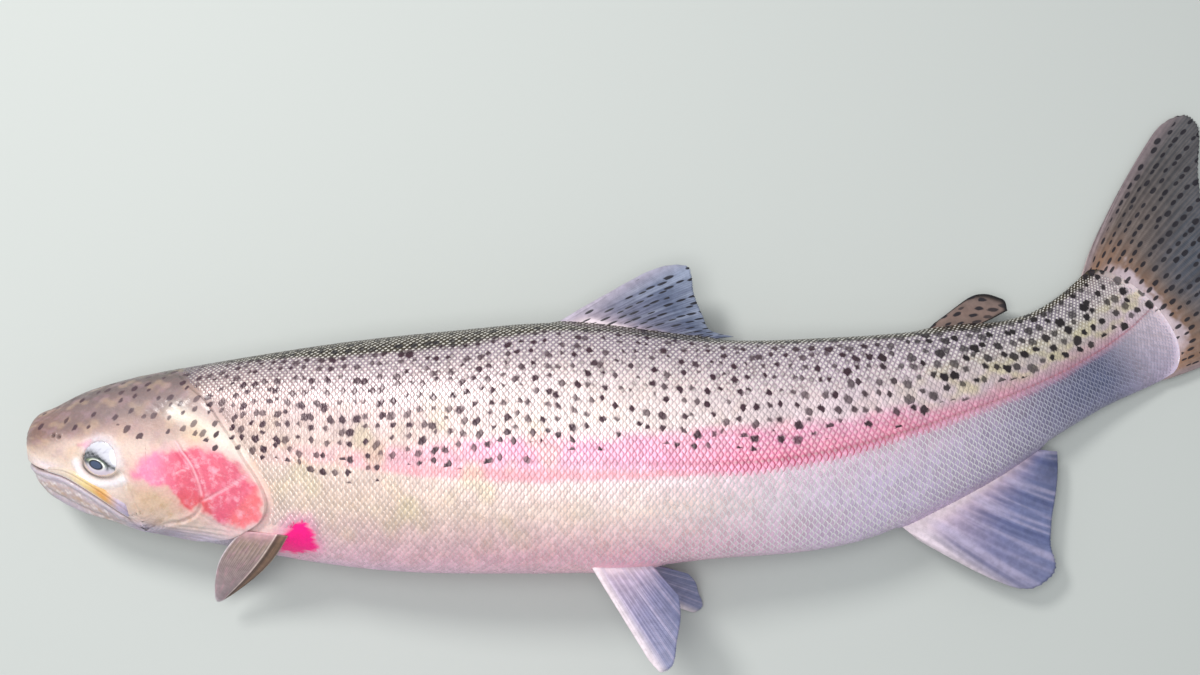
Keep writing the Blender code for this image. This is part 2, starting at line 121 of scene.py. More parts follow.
PECTORAL_ROOT = [(0.194, -0.078), (0.2335, -0.0815)]
PECTORAL_BASE = [
    (0.185, -0.072), (0.212, -0.068), (0.24, -0.073), (0.246, -0.084), (0.232, -0.098), (0.19, -0.094)]
PELVIC_ROOT = [(0.492, -0.104), (0.548, -0.103)]
BAND_TOP = [
    (0.22, -0.004), (0.284, -0.0064), (0.402, 0.0016), (0.5, 0.003), (0.586, 0.0104), (0.672, 0.011),
    (0.763, 0.01), (0.856, -0.0016), (1, -0.001)]
BAND_BOTTOM = [
    (0.22, -0.016), (0.284, -0.0189), (0.402, -0.0316), (0.5, -0.0315), (0.585, -0.0273), (0.669, -0.0226),
    (0.757, -0.0144), (0.853, -0.0089), (1, -0.005)]
BAND_STRENGTH = [
    (0.2, 0), (0.28, 0.45), (0.4, 0.8), (0.5, 1), (0.6, 1), (0.7, 0.95), (0.78, 0.8), (0.86, 0.5),
    (0.97, 0.3), (1.02, 0)]


def curve(points, x, root=False):
    """Smooth curve through points at x, which never passes them. With root, x 0 is a blunt nose."""
    p = np.asarray(points, float)
    xs, ys = (np.sqrt(p[:, 0]) if root else p[:, 0]), p[:, 1]
    x = np.asarray(x, float)
    x = np.clip(np.sqrt(np.maximum(x, 0)) if root else x, xs[0], xs[-1])
    width = np.diff(xs)
    step = np.diff(ys) / width
    inner = (step[:-1] * width[1:] + step[1:] * width[:-1]) / (width[1:] + width[:-1])
    slope = np.concatenate([step[:1], inner, step[-1:]])
    slope[1:-1][step[:-1] * step[1:] <= 0] = 0
    i = np.clip(np.searchsorted(xs, x, side="right") - 1, 0, len(xs) - 2)
    t = (x - xs[i]) / width[i]
    return (ys[i] * (1 + 2 * t) * (1 - t) ** 2 + ys[i + 1] * t * t * (3 - 2 * t)
            + width[i] * (slope[i] * t * (1 - t) ** 2 - slope[i + 1] * t * t * (1 - t)))


def ease(start, end, x):
    """0 before start and 1 after end, with a smooth step between."""
    t = np.clip((np.asarray(x, float) - start) / (end - start), 0, 1)
    return t * t * (3 - 2 * t)


def span(start, full, last, end, x):
    """1 between full and last, easing to 0 at start and at end."""
    return ease(start, full, x) * ease(end, last, x)


def bump(distance, width):
    return np.exp(-(distance / width) ** 2)


def mix(a, b, share):
    return a + (b - a) * share


def unit(v):
    return v / np.maximum(np.linalg.norm(v, axis=-1, keepdims=True), 1e-12)


def wobble(x, y, seed):
    """Smooth uneven field between about -1 and 1, with features a few units of x and y across."""
    return (np.sin(x * 1.1 + y * 0.7 + seed) + np.sin(x * -0.6 + y * 1.4 + 2.1 * seed)
            + 0.7 * np.sin(x * 2.3 + y * 1.9 + 3.7 * seed) + 0.5 * np.sin(x * -2.9 + y * 2.6 + seed)) / 2.4


# The spine as a fine table: place and direction at equal steps
SPINE_STEP = 0.0025
SPINE_AT = np.arange(0, SPINE_TURN[-1][0] + SPINE_STEP / 2, SPINE_STEP)
SPINE_ANGLE = np.radians(curve(SPINE_TURN, SPINE_AT))
STEP_ANGLE = np.radians(curve(SPINE_TURN, SPINE_AT[1:] - SPINE_STEP / 2))
SPINE_X, SPINE_Y = (np.concatenate([[0], np.cumsum(part(STEP_ANGLE)) * SPINE_STEP])
                    for part in (np.cos, np.sin))


def count_table(pitch):
    """How many pitches, given in mm along the body, lie between the snout and each place of SPINE_AT."""
    return np.concatenate([[0], np.cumsum(SPINE_STEP * FISH_MM / curve(pitch, SPINE_AT[1:]))])


def place(along, out, height):
    """World points of places beside the spine, all three as shares of LENGTH."""
    along, out, height = np.broadcast_arrays(along, out, height)
    x, y, angle = (np.interp(along, SPINE_AT, table) for table in (SPINE_X, SPINE_Y, SPINE_ANGLE))
    return np.stack([SNOUT[0] + (x - height * np.sin(angle)) * LENGTH,
                     SNOUT[1] + (y + height * np.cos(angle)) * LENGTH,
                     curve(SPINE_LIFT, along) + out * LENGTH], -1)


def section(along):
    back, belly = curve(BACK_LINE, along, True), curve(BELLY_LINE, along, True)
    return ((back + belly) / 2, (back - belly) / 2, curve(HALF_WIDTH, along, True),
            curve(SQUARENESS, along), curve(HIGH_SHOULDER, along))


def beside(along, turn):
    """(out, height) of the body's surface at a turn round it."""
    middle, depth, width, square, shoulder = section(along)
    c, s = np.cos(np.radians(turn)), np.sin(np.radians(turn))
    t = np.sign(c) * np.abs(c) ** (2 / square)
    return width * np.sign(s) * np.abs(s) ** (2 / square) * (1 + shoulder * t), middle + depth * t


def body(along, turn):
    return place(along, *beside(along, turn))


def body_normal(along, turn, step=0.0012, swing=0.8):
    """Outward direction of the body's surface, from small moves along it and round it."""
    forward = body(along + step, turn) - body(np.maximum(along - step, 0), turn)
    return unit(np.cross(body(along, turn + swing) - body(along, turn - swing), forward))


def turn_at_height(along, height):
    middle, depth, _, square, _ = section(along)
    t = np.clip((height - middle) / depth, -1, 1)
    return np.degrees(np.arccos(np.sign(t) * np.abs(t) ** (square / 2)))


def press(points):
    """Flesh under the floor's level is pressed flat just above it."""
    soft = 0.4 * MM
    z = points[..., 2]
    points[..., 2] = np.where(z < soft, soft * np.exp(np.minimum(z - soft, 0) / (3 * soft)), z)
    return points


def on_body(along, turn, lift):
    """World points lift millimetres off the smooth body, pressed flat on the floor."""
    return press(body(along, turn) + body_normal(along, turn) * (lift * MM)[..., None])


# Distance round the body from the lateral line, as a table over along and turn
ARC_ALONG = np.linspace(0.004, 1.05, 420)
ARC_TURN = np.linspace(-50, 230, 561)


def arc_table():
    """Distances in metres from the lateral line towards the back, at ARC_ALONG and ARC_TURN."""
    along = ARC_ALONG[:, None]
    ring = body(along, ARC_TURN[None, :])
    steps = np.linalg.norm(np.diff(ring, axis=1), axis=-1)
    arc = np.concatenate([np.zeros((len(ARC_ALONG), 1)), np.cumsum(steps, 1)], 1)
    line = turn_at_height(ARC_ALONG, curve(LATERAL_LINE, ARC_ALONG))
    zero = [np.interp(line[i], ARC_TURN, arc[i]) for i in range(len(ARC_ALONG))]
    return np.array(zero)[:, None] - arc


ARC = arc_table()
ARC_BACK, ARC_BELLY = (np.array([np.interp(turn, ARC_TURN, row) for row in ARC]) for turn in (0, 180))


def midlines(along):
    """Distances in metres from the lateral line to the middle of the back and to that of the belly."""
    return np.interp(along, ARC_ALONG, ARC_BACK), np.interp(along, ARC_ALONG, ARC_BELLY)


def look_up(table, rows, columns, row, column):
    """Values of a table between its evenly spaced rows and columns."""
    i = np.clip((row - rows[0]) / (rows[1] - rows[0]), 0, len(rows) - 1.001)
    j = np.clip((column - columns[0]) / (columns[1] - columns[0]), 0, len(columns) - 1.001)
    a, b = i.astype(int), j.astype(int)
    u, v = i - a, j - b
    return ((table[a, b] * (1 - v) + table[a, b + 1] * v) * (1 - u)
            + (table[a + 1, b] * (1 - v) + table[a + 1, b + 1] * v) * u)


def arc_at(along, turn):
    return look_up(ARC, ARC_ALONG, ARC_TURN, along, np.abs(turn))


ARC_STEPS = np.linspace(-0.15, 0.15, 601)
TURN_OF_ARC = np.array([np.interp(ARC_STEPS, row[::-1], ARC_TURN[::-1]) for row in ARC])


def turn_of(along, arc):
    return look_up(TURN_OF_ARC, ARC_ALONG, ARC_STEPS, along, arc)


def rise_at(along, arc):
    """How high on the flank: 1 at the back, 0 at the lateral line and -1 at the belly."""
    top, low = midlines(along)
    return np.where(arc > 0, arc / top, -arc / low)


def path(points, count=26, closed=False):
    """Points along a smooth line through a few given ones."""
    p = np.asarray(points, float)
    if closed:
        p = np.concatenate([p[-2:], p, p[:3]])
    at = np.arange(len(p))
    fine = np.linspace(2, len(p) - 3, count) if closed else np.linspace(0, len(p) - 1, count)
    return np.stack([curve(np.stack([at, p[:, k]], 1), fine) for k in (0, 1)], 1)


def trace(line, along, height, closed=False):
    """(distance in mm, share of the way, whether inside) from places on the flank to a fine line."""
    best, where = np.full(along.shape, 1e9), np.zeros(along.shape)
    within = np.zeros(along.shape, bool)
    for k, ((a, b), (da, db)) in enumerate(zip(line[:-1], np.diff(line, axis=0))):
        t = np.clip(((along - a) * da + (height - b) * db) / (da * da + db * db), 0, 1)
        d = np.hypot(along - a - t * da, height - b - t * db)
        where = np.where(d < best, (k + t) / (len(line) - 1), where)
        best = np.minimum(best, d)
        if closed and db:
            within ^= ((b > height) != (b + db > height)) & (along < a + (height - b) / db * da)
    return best * FISH_MM, where, within


def line_distance(points, along, height):
    """(distance in mm, share of the way) from places on the flank to a smooth line."""
    return trace(path(points), along, height)[:2]


def off_line(points, along, height):
    return line_distance(points, along, height)[0]


def off_point(point, along, height, stretch=1.0):
    """Distance in mm from places on the flank to a point, the same all round an oval longer by stretch."""
    return np.hypot((along - point[0]) / stretch, height - point[1]) * FISH_MM


def above_mouth(along, height):
    """Millimetres above the mouth line, negative below it."""
    return (height - curve(MOUTH_LINE, along)) * FISH_MM


def inside(points, along, height):
    """Distance in mm from places to a closed outline, positive inside it."""
    best, _, within = trace(path(points, 72, True), along, height, True)
    return np.where(within, best, -best)


# ---- relief of the skin

def eye_distance(along, height):
    """Distance in mm from the eye's middle, stretched so that the rim of the socket is 9 mm out all round.

    The socket is drawn out to a corner low at the back, and the skin comes in over the eye low in front."""
    angle = np.degrees(np.arctan2(height - EYE_HEIGHT, along - EYE_ALONG))
    stretch = 1 + 0.16 * bump(angle + 36, 26) - 0.1 * bump(angle + 122, 40)
    return off_point((EYE_ALONG, EYE_HEIGHT), along, height) / stretch


def eye_lean(along, height):
    """Millimetres up and backwards from the eye's middle."""
    return ((height - EYE_HEIGHT) * 0.86 + (along - EYE_ALONG) * 0.5) * FISH_MM


def eye_line(*points):
    """Line in flank places, from millimetres beside the eye's middle."""
    return [(EYE_ALONG + x / FISH_MM, EYE_HEIGHT + y / FISH_MM) for x, y in points]


EYE_CREASE = eye_line((-9.2, 1.6), (-9.4, -3), (-6.2, -7.4), (-1, -9.8), (3.8, -10.2), (8.2, -9),
                      (11.2, -6.8))
EYE_BROW = eye_line((-12.5, 7.2), (-8.5, 7.8), (-5, 9.6), (0, 11.2), (5, 10.8), (9, 8))
EYE_POUCH = eye_line((-14, -2), (-10, -9), (-3, -13), (5, -13.6), (13, -11.5))


def mouth_relief(along, height):
    """Mouth line with its lips, which fades out before the corner of the mouth."""
    d = above_mouth(along, height)
    lips = 0.55 * bump(d + 1.9, 1.2) + 0.35 * bump(d - 1.6, 1.1)
    front = ease(MOUTH_CORNER + 0.003, MOUTH_CORNER - 0.006, along)
    return front * (lips - 1.6 * bump(d, 0.55) - 0.35 * bump(d + 4.4, 0.8))


def eye_relief(along, height):
    """Socket, raised rim and the folds round it."""
    d = eye_distance(along, height)
    below = ease(4, -4, eye_lean(along, height))
    socket = -7.5 * (1 - ease(mix(7.7, 8.2, below), mix(8.8, 9.2, below), d))
    rim = mix(0.15, 0.7, below) * bump(d - 10.4, 1.3)
    crease, brow, pouch = (off_line(line, along, height) for line in (EYE_CREASE, EYE_BROW, EYE_POUCH))
    return (socket + rim - 0.35 * bump(crease, 0.6) + 0.45 * bump(brow, 1.1) + 0.5 * bump(pouch, 1.8)
            - 0.35 * bump(pouch - 3.4, 0.8))


def nostril_relief(along, height):
    holes = [off_point(centre, along, height) for centre in NOSTRILS]
    return sum(0.4 * bump(d - 1.9, 0.6) - 1.5 * bump(d, 0.85) for d in holes)


def groove(line, depth, width, shoulder, along, height):
    """A groove along a line, whose ends fade, with a low shoulder on both sides."""
    d, where = line_distance(line, along, height)
    return span(0, 0.08, 0.92, 1, where) * (shoulder * bump(d - 1.6, 1.2) - depth * bump(d, width))


def throat_relief(along, turn):
    """Folds of the gill membranes' rays under the head, and the soft throat between the jaws."""
    t = np.abs(turn)
    before_edge = curve(GILL_EDGE, t) - along
    rays = (ease(0.085, 0.105, along) * ease(0.002, 0.01, before_edge) * ease(136, 146, t)
            * np.cos((t - 140) / 5.2 * 2 * np.pi + along * 60))
    throat = ease(158, 168, t) * span(0.02, 0.045, 0.075, 0.105, along)
    chin_fold = bump(t - 157, 4) * span(0.02, 0.05, 0.085, 0.11, along)
    return 0.28 * rays - 1.2 * throat + 0.4 * chin_fold


def gill_flap(along, turn):
    """How free the head's rear edge is at a turn, and how many mm behind it a place lies."""
    t = np.abs(turn)
    return span(52, 72, 168, 176, t), (along - curve(GILL_EDGE, t)) * FISH_MM


def head_relief(along, turn):
    _, height = beside(along, turn)
    flank = ease(14, 30, np.abs(turn))
    cheek = off_point((0.123, -0.038), along, height, 1.25)
    free, behind = gill_flap(along, turn)
    return (mouth_relief(along, height) + flank * (eye_relief(along, height) + nostril_relief(along, height))
            + sum(groove(*shape, along, height) for shape in GROOVES) + throat_relief(along, turn)
            + 0.9 * bump(cheek, 9) * flank + 1 * free * bump(behind, 7)
            + 0.1 * wobble(along * 260, turn * 0.35, 3) + 0.02 * wobble(along * 700, turn * 0.9, 8))


def stem_edge(turn):
    """How far back the tail's stem reaches."""
    return STEM_END + STEM_BULGE * np.abs(np.sin(np.radians(turn)))


def root_swelling(along, turn):
    """Flesh that rises round the roots of the fins."""
    _, height = beside(along, turn)
    back, belly = (np.abs(line - arc_at(along, turn)) / MM for line in midlines(along))
    swelling = (bump(back, 2.6) * (1.5 * span(0.452, 0.47, 0.595, 0.615, along)
                                   + 1.1 * span(0.8, 0.82, 0.86, 0.875, along))
                + 1.6 * bump(belly, 3.2) * span(0.74, 0.755, 0.875, 0.89, along))
    for line, size in ((PELVIC_ROOT, 1.3), (PECTORAL_ROOT, 0.4)):
        swelling = swelling + size * bump(off_line(line, along, height), 3.4) * ease(60, 90, np.abs(turn))
    return swelling


def tail_taper(along, turn):
    """Millimetres by which the flesh thins out where it runs onto the tail fin."""
    s, edge = np.abs(np.sin(np.radians(turn))), stem_edge(turn)
    spare = np.maximum(curve(HALF_WIDTH, along, True) * s * FISH_MM - 0.5, 0)
    return spare * ease(edge - 0.05, edge + 0.006, along) ** 1.3


def trunk_relief(along, turn):
    free, behind = gill_flap(along, turn)
    return root_swelling(along, turn) - 2 * free * bump(behind, 7) - tail_taper(along, turn)


# ---- markings, shared by skin and scales

def srgb(*values):
    """Linear colour of 0 to 255 display values."""
    c = np.asarray(values, float) / 255
    return np.where(c <= 0.04045, c / 12.92, ((c + 0.055) / 1.055) ** 2.4)


def shades(t, *stops):
    """Colour that runs through (place, display colour) stops."""
    at, colours = [stop[0] for stop in stops], np.array([srgb(*stop[1]) for stop in stops])
    return np.stack([np.interp(t, at, channel) for channel in colours.T], -1)


def paint(colour, *coats):
    """Colour under coats, each given as a display colour and then its share."""
    for shade, share in zip(coats[::2], coats[1::2]):
        colour = mix(colour, srgb(*shade), np.clip(share, 0, 1)[..., None])
    return colour


# Colour of the flank by rise, at a few places along the body
FLANK_COLOURS = {
    0.16: [(-1, (214, 194, 212)), (-0.65, (222, 200, 194)), (-0.25, (228, 206, 190)), (0, (230, 206, 194)),
           (0.3, (208, 182, 178)), (0.65, (164, 140, 138)), (1, (110, 94, 88))],
    0.3: [(-1, (238, 198, 230)), (-0.75, (244, 194, 212)), (-0.35, (228, 202, 186)), (0, (232, 206, 196)),
           (0.3, (214, 190, 190)), (0.6, (186, 166, 172)), (1, (146, 130, 138))],
    0.52: [(-1, (244, 190, 212)), (-0.7, (254, 194, 210)), (-0.35, (253, 226, 218)), (0, (244, 212, 220)),
           (0.25, (250, 232, 228)), (0.5, (240, 219, 220)), (0.75, (182, 163, 173)), (1, (134, 122, 130))],
    0.74: [(-1, (212, 190, 222)), (-0.7, (214, 194, 226)), (-0.35, (214, 194, 224)), (-0.1, (220, 190, 214)),
           (0.25, (246, 224, 230)), (0.6, (212, 192, 204)), (1, (128, 116, 128))],
    # at 0.95 the low flank darkens to deep blue-grey: partly its silvery colour, partly painted shade
    0.95: [(-1, (134, 132, 162)), (-0.5, (88, 94, 124)), (-0.1, (96, 98, 126)), (0.12, (198, 180, 184)),
           (0.4, (192, 184, 174)), (0.7, (168, 158, 168)), (1, (112, 102, 108))],
    1.02: [(-1, (200, 184, 208)), (-0.5, (210, 194, 212)), (0.1, (222, 204, 214)), (0.5, (210, 194, 198)),
           (0.85, (168, 152, 148)), (1, (104, 92, 84))],
}
# Rise where the dark strip along the back begins
STRIP_START = [
    (0.16, 0.82), (0.23, 0.74), (0.28, 0.7), (0.38, 0.72), (0.43, 0.78), (0.5, 0.84), (0.62, 0.87),
    (0.9, 0.85), (1.05, 0.88)]


def strip_share(along, rise):
    """How much a place belongs to the dark olive strip along the back."""
    start = curve(STRIP_START, along) + 0.012 * wobble(along * 90, rise * 40, 2.5)
    return ease(start - 0.03, start + 0.025, rise) * ease(0.125, 0.19, along)


def flank_colour(along, rise):
    stations = list(FLANK_COLOURS)
    colour = shades(rise, *FLANK_COLOURS[stations[0]])
    for before, station in zip(stations, stations[1:]):
        colour = mix(colour, shades(rise, *FLANK_COLOURS[station]), ease(before, station, along)[..., None])
    return colour


def band_share(along, height):
    """How much a place belongs to the pink band: its lower edge is sharp, and its upper one ragged."""
    top = curve(BAND_TOP, along) + 0.003 * wobble(along * 75, height * 150, 1)
    bottom = curve(BAND_BOTTOM, along) + 0.0012 * wobble(along * 60, height * 90, 3)
    return ease(top + 0.008, top - 0.006, height) * ease(bottom - 0.004, bottom + 0.003, height)


def band_colour(colour, along, height):
    """The pink band along the flank: salmon at its lower edge, and strongest on the lateral line behind."""
    strength = curve(BAND_STRENGTH, along) * (0.88 + 0.12 * wobble(along * 50, height * 60, 4))
    share = band_share(along, height) * strength
    line = height - curve(LATERAL_LINE, along)
    ragged = line + 0.004 * wobble(along * 90, height * 120, 6)
    return paint(
        colour,
        (250, 156, 196), 0.84 * share,
        (248, 148, 152), 0.75 * share * ease(-0.002, -0.009, line) * ease(0.62, 0.55, along),
        (242, 104, 138), 0.42 * strength * ease(0.5, 0.66, along) * ease(-0.003, 0.002, line)
        * ease(0.018, 0.004, ragged))


def head_colour(colour, along, height, turn, rise):
    """Brown crown, partly painted shade; golden snout; pale jaws; painted shade in the mouth's gap; cream
    skin behind the cheek.
    """
    face, jaw = ease(0.168, 0.14, along), ease(0.105, 0.085, along)
    mouth = above_mouth(along, height)
    jaw_gold = 0.6 + 0.3 * wobble(along * 260, mouth, 4)
    jaw_specks = ease(0.1, 0.8, wobble(along * 480, mouth * 1.1, 9))
    cheek = bump(off_point((0.135, -0.056), along, height, 1.5), 12)
    return paint(
        colour,
        (194, 164, 156), face * ease(0.02, 0.2, rise),
        # darker crown: partly its own brown, partly painted shade
        (126, 106, 106), face * ease(0.16, 0.4, rise + 0.1 * ease(0.1, 0.04, along)) * 0.9,
        (108, 94, 94), face * ease(0.46, 0.74, rise) * 0.9,
        (78, 70, 58), ease(0.085, 0.135, along) * ease(0.62, 0.85, rise) * 0.75,
        (136, 106, 98), ease(0.055, 0.012, along) * ease(-0.3, 0.1, rise) * 0.8,
        (228, 196, 160), face * ease(0.1, 0.9, wobble(along * 150, turn * 0.17, 1.5)) * 0.24,
        (176, 142, 154), face * ease(0, 1, wobble(along * 200, turn * 0.21, 5)) * 0.3,
        (192, 182, 198), jaw * ease(0.5, -1.5, mouth),
        (194, 164, 140), jaw * bump(mouth + 8, 4.2) * jaw_gold,
        (240, 232, 232), jaw * bump(mouth + 7, 5) * jaw_specks * 0.6,
        (238, 224, 230), jaw * bump(mouth - 3, 3) * 0.7 * ease(0, 0.02, along),
        # painted shade along the gap of the mouth line, up to its corner
        (88, 64, 68), ease(MOUTH_CORNER + 0.006, MOUTH_CORNER, along) * bump(mouth, 0.7) * 0.9,
        (218, 184, 152), span(0.09, 0.115, 0.15, 0.17, along) * bump(height + 0.047, 0.018) * 0.8,
        (184, 146, 102), cheek * ease(0.2, 0.9, wobble(along * 420, height * 420, 7)) * 0.5,
        (252, 240, 228), bump(off_line(CREAM_LINE, along, height), 4.6) * 0.85,
        (240, 208, 166), bump(off_point((0.158, 0.005), along, height), 7) * 0.6,
        (182, 174, 198), ease(146, 158, np.abs(turn)) * ease(0.08, 0.11, along) * 0.7)


def patch_depth(along, height):
    """Distance in mm inside the red patch of the cheek and gill cover, whose edge is uneven."""
    return inside(RED_PATCH, along, height) + 1.3 * wobble(along * 330, height * 330, 2)


def patch_colour(colour, along, height):
    depth = patch_depth(along, height)
    red = paint(
        np.broadcast_to(srgb(228, 84, 118), colour.shape),
        (250, 140, 182), ease(0.146, 0.118, along) * 0.9,
        (226, 78, 92), ease(-0.034, -0.052, height) * ease(0.178, 0.166, along),
        (246, 112, 124), ease(-0.006, 0.004, along - 0.205 + (-0.045 - height) * 0.9),
        (255, 190, 212), ease(0.3, 1, wobble(along * 300, height * 280, 5)) * 0.22)
    colour = paint(colour, (240, 178, 190), ease(-7, 0, depth) * 0.35)
    colour = mix(colour, red, (ease(-1.2, 2.6, depth) * 0.92)[..., None])
    for line, width in ((PREOPERCLE[:5], 0.7), (SUTURE, 0.65), (CHEEK_BRANCH, 0.45)):
        d, where = line_distance(line, along, height)
        colour = paint(colour, (250, 204, 214), bump(d, width) * span(0, 0.1, 0.9, 1, where) * 0.6)
    return colour


def eye_skin_colour(colour, along, height):
    """White skin above and below the eye, painted shade along the crease under it, a pink fold in front and
    painted shade in the nostrils.
    """
    d, lean = eye_distance(along, height), eye_lean(along, height)
    blush = (EYE_BROW[1][0] + 0.002, EYE_BROW[1][1] - 0.002)
    colour = paint(
        colour,
        (236, 226, 232), bump(d - 9.6, 3) * ease(-3, 4, lean) * 0.85,
        (246, 240, 246), bump(off_line(EYE_POUCH, along, height), 2.4) * 0.95,
        # painted shade along the crease under the eye
        (52, 40, 46), bump(off_line(EYE_CREASE, along, height), 0.8) * 0.85,
        (214, 128, 152), bump(off_line(EYE_BROW[:3], along, height), 0.9) * 0.6,
        (244, 186, 212), bump(off_point(blush, along, height), 2.2) * 0.7)
    # painted shade in the pits of the nostrils
    for centre in NOSTRILS:
        colour = paint(colour, (70, 56, 60), bump(off_point(centre, along, height), 0.95))
    return colour


def rear_band(along, height, start, full):
    """Share of the pink band behind start, and all of it behind full."""
    return band_share(along, height) * curve(BAND_STRENGTH, along) * ease(start, full, along)


def scale_edge_colour(along, height, rise):
    """(colour, share) of the rim that shows on each scale: dark above, pink on the band, pale below."""
    band = rear_band(along, height, 0.5, 0.62)
    colour = paint(
        np.broadcast_to(srgb(255, 252, 255), along.shape + (3,)),
        (192, 194, 220), ease(0.8, 0.95, along),
        (146, 134, 156), ease(-0.02, 0.1, rise),
        (232, 84, 126), band,
        (54, 44, 26), strip_share(along, rise))
    pale = mix(0.22, 1, ease(0.42, 0.7, along)) * span(-1, -0.75, -0.04, 0.04, rise)
    pale = pale * mix(1, 0.5, ease(0.84, 1, along))
    dark = ease(0, 0.3, rise) * mix(0.17, 0.65, ease(0.4, 0.75, rise))
    return colour, np.maximum(np.maximum(pale, dark), band * 0.2)


def scale_pale_dot_and_glint(along, height, rise):
    """Share of each scale's bright dot: pale middles on the band, a painted glint above, clearest on the dark
    back.
    """
    high = 0.78 * ease(0.25, 0.55, rise) * ease(0.13, 0.165, along)
    return np.maximum(high, rear_band(along, height, 0.55, 0.65) * 0.34 * ease(-0.06, 0.02, rise))


def flank_markings(colour, along, rise):
    """The lateral line, yellow and olive tones over the flank, and the dark strip along the back."""
    golden = ease(-0.4, 0.7, wobble(along * 120, rise * 16, 3))
    olive = ease(0, 1, wobble(along * 75, rise * 8, 1))
    return paint(
        colour,
        (170, 84, 104), bump(rise, 0.011) * span(0.24, 0.32, 1.01, 1.06, along)
        * mix(0.3, 0.75, ease(0.5, 0.7, along)),
        (214, 204, 160), ease(0.72, 0.85, along) * span(0.05, 0.2, 0.4, 0.6, rise) * golden * 0.65,
        (206, 194, 150), span(0.2, 0.26, 0.4, 0.55, along) * span(-0.75, -0.4, 0.1, 0.5, rise) * olive * 0.45,
        (66, 56, 36), strip_share(along, rise))


def armpit_colour(colour, along, height):
    """Vivid magenta skin in the left armpit, with a pink rim round it."""
    depth = inside(ARMPIT, along, height) + 1.1 * wobble(along * 620, height * 260, 6)
    return paint(
        colour,
        (232, 160, 190), ease(-8, -1, depth) * 0.7,
        (255, 0, 136), ease(-0.4, 0.5, depth))


def body_colour(along, turn, height, rise):
    colour = flank_markings(band_colour(flank_colour(along, rise), along, height), along, rise)
    head = (along < 0.235) & (turn != 0)
    a, h = along[head], height[head]
    dressed = head_colour(colour[head], a, h, turn[head], rise[head])
    colour[head] = eye_skin_colour(patch_colour(dressed, a, h), a, h)
    near = (along > 0.2) & (along < 0.29) & (turn > 40)
    colour[near] = armpit_colour(colour[near], along[near], height[near])
    return np.clip(colour, 0, 1)


# Spots: the size of the cells that hold one each in mm, and the radius of a spot in mm
SPOT_CELL = [
    (0, 8), (0.14, 7), (0.2, 6.1), (0.3, 7.3), (0.42, 7.2), (0.53, 8.1), (0.65, 7.9), (0.76, 8.3),
    (0.86, 7.4), (1.05, 8.2)]
SPOT_RADIUS = [
    (0, 1.9), (0.13, 1.9), (0.2, 1.95), (0.3, 2.15), (0.42, 1.97), (0.53, 2), (0.65, 2.2), (0.76, 2.7),
    (0.88, 2.8), (1.05, 2.75)]
BACK_CROWDING = 5  # mm of extra spots' pattern that is squeezed in beside the midline of the back
SPOT_COUNT = count_table(SPOT_CELL)
# Spots fill the flank above a limit of rise, with a share of their cells filled
SPOT_LIMIT = [
    (0, 0.22), (0.12, 0.1), (0.2, -0.05), (0.3, -0.18), (0.38, -0.08), (0.46, 0.04), (0.6, 0.05), (0.8, 0.06),
    (0.95, 0.02), (1.05, -0.15)]
SPOT_SHARE = [(0, 0.7), (0.14, 0.8), (0.2, 1), (1.05, 1)]


def spot_place(along, turn):
    """Place in the spots' pattern, which runs on over the back from flank to flank, and the spots' radius."""
    cell = curve(SPOT_CELL, along)
    from_back = (midlines(along)[0] - arc_at(along, turn)) / MM
    across = (from_back + BACK_CROWDING * (1 - np.exp(-from_back / 12))) / cell
    return np.stack([np.interp(along, SPINE_AT, SPOT_COUNT), across * np.sign(turn + 1e-9),
                     curve(SPOT_RADIUS, along) / cell], -1)


def spot_density(along, rise):
    limit = curve(SPOT_LIMIT, along)
    return curve(SPOT_SHARE, along) * ease(limit - 0.05, limit + 0.17, rise)


def markings(along, turn):
    """Everything the material reads from skin and scales, at places on the body."""
    _, height = beside(along, turn)
    rise = rise_at(along, arc_at(along, turn))
    return {"tint": body_colour(along, turn, height, rise),
            "spot": spot_place(along, turn),
            "ink": spot_density(along, rise),
            "depth": mix(0.92, 1, ease(0.13, 0.2, along)),
            "flush": ease(-1, 3, patch_depth(along, height)) * (along < 0.24),
            "brown": np.maximum(ease(0.68, 0.85, along), strip_share(along, rise)),
            "faint": ease(0.18, 0.24, along) * ease(0.35, 0.6, rise) * 0.75}


# ---- mesh building

def grid_quads(rows, columns, wrap=False):
    """Corner numbers of the faces of a grid of points. With wrap, the last column joins the first."""
    across = columns if wrap else columns - 1
    i, j = np.meshgrid(np.arange(rows - 1), np.arange(across), indexing="ij")
    k = (j + 1) % columns
    return np.stack([i * columns + j, i * columns + k, (i + 1) * columns + k, (i + 1) * columns + j],
                    -1).reshape(-1, 4)


def fill(collection, field, values, kind=np.float32):
    collection.foreach_set(field, np.ascontiguousarray(values, kind).ravel())


def add_mesh(name, points, faces, material, uv=None, uv_faces=None, **layers):
    """A piece that rides on the fish. layers are values for each point, which its material reads."""
    mesh = bpy.data.meshes.new(name)
    mesh.vertices.add(len(points))
    fill(mesh.vertices, "co", points)
    mesh.loops.add(faces.size)
    fill(mesh.loops, "vertex_index", faces, np.int32)
    mesh.polygons.add(len(faces))
    fill(mesh.polygons, "loop_start", np.arange(0, faces.size, faces.shape[1]), np.int32)
    mesh.update(calc_edges=True)
    for key, values in layers.items():
        kind, field = ("FLOAT", "value") if values.ndim == 1 else ("FLOAT_VECTOR", "vector")
        fill(mesh.attributes.new(key, kind, "POINT").data, field, values)
    if uv is not None:
        corners = faces if uv_faces is None else uv_faces
        fill(mesh.uv_layers.new(name="OFBake").data, "uv", uv[corners.ravel()])
    mesh.shade_smooth()
    mesh.materials.append(material)
    piece = put_in_scene(name, mesh)
    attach(piece, "root")
    return piece


# ---- materials

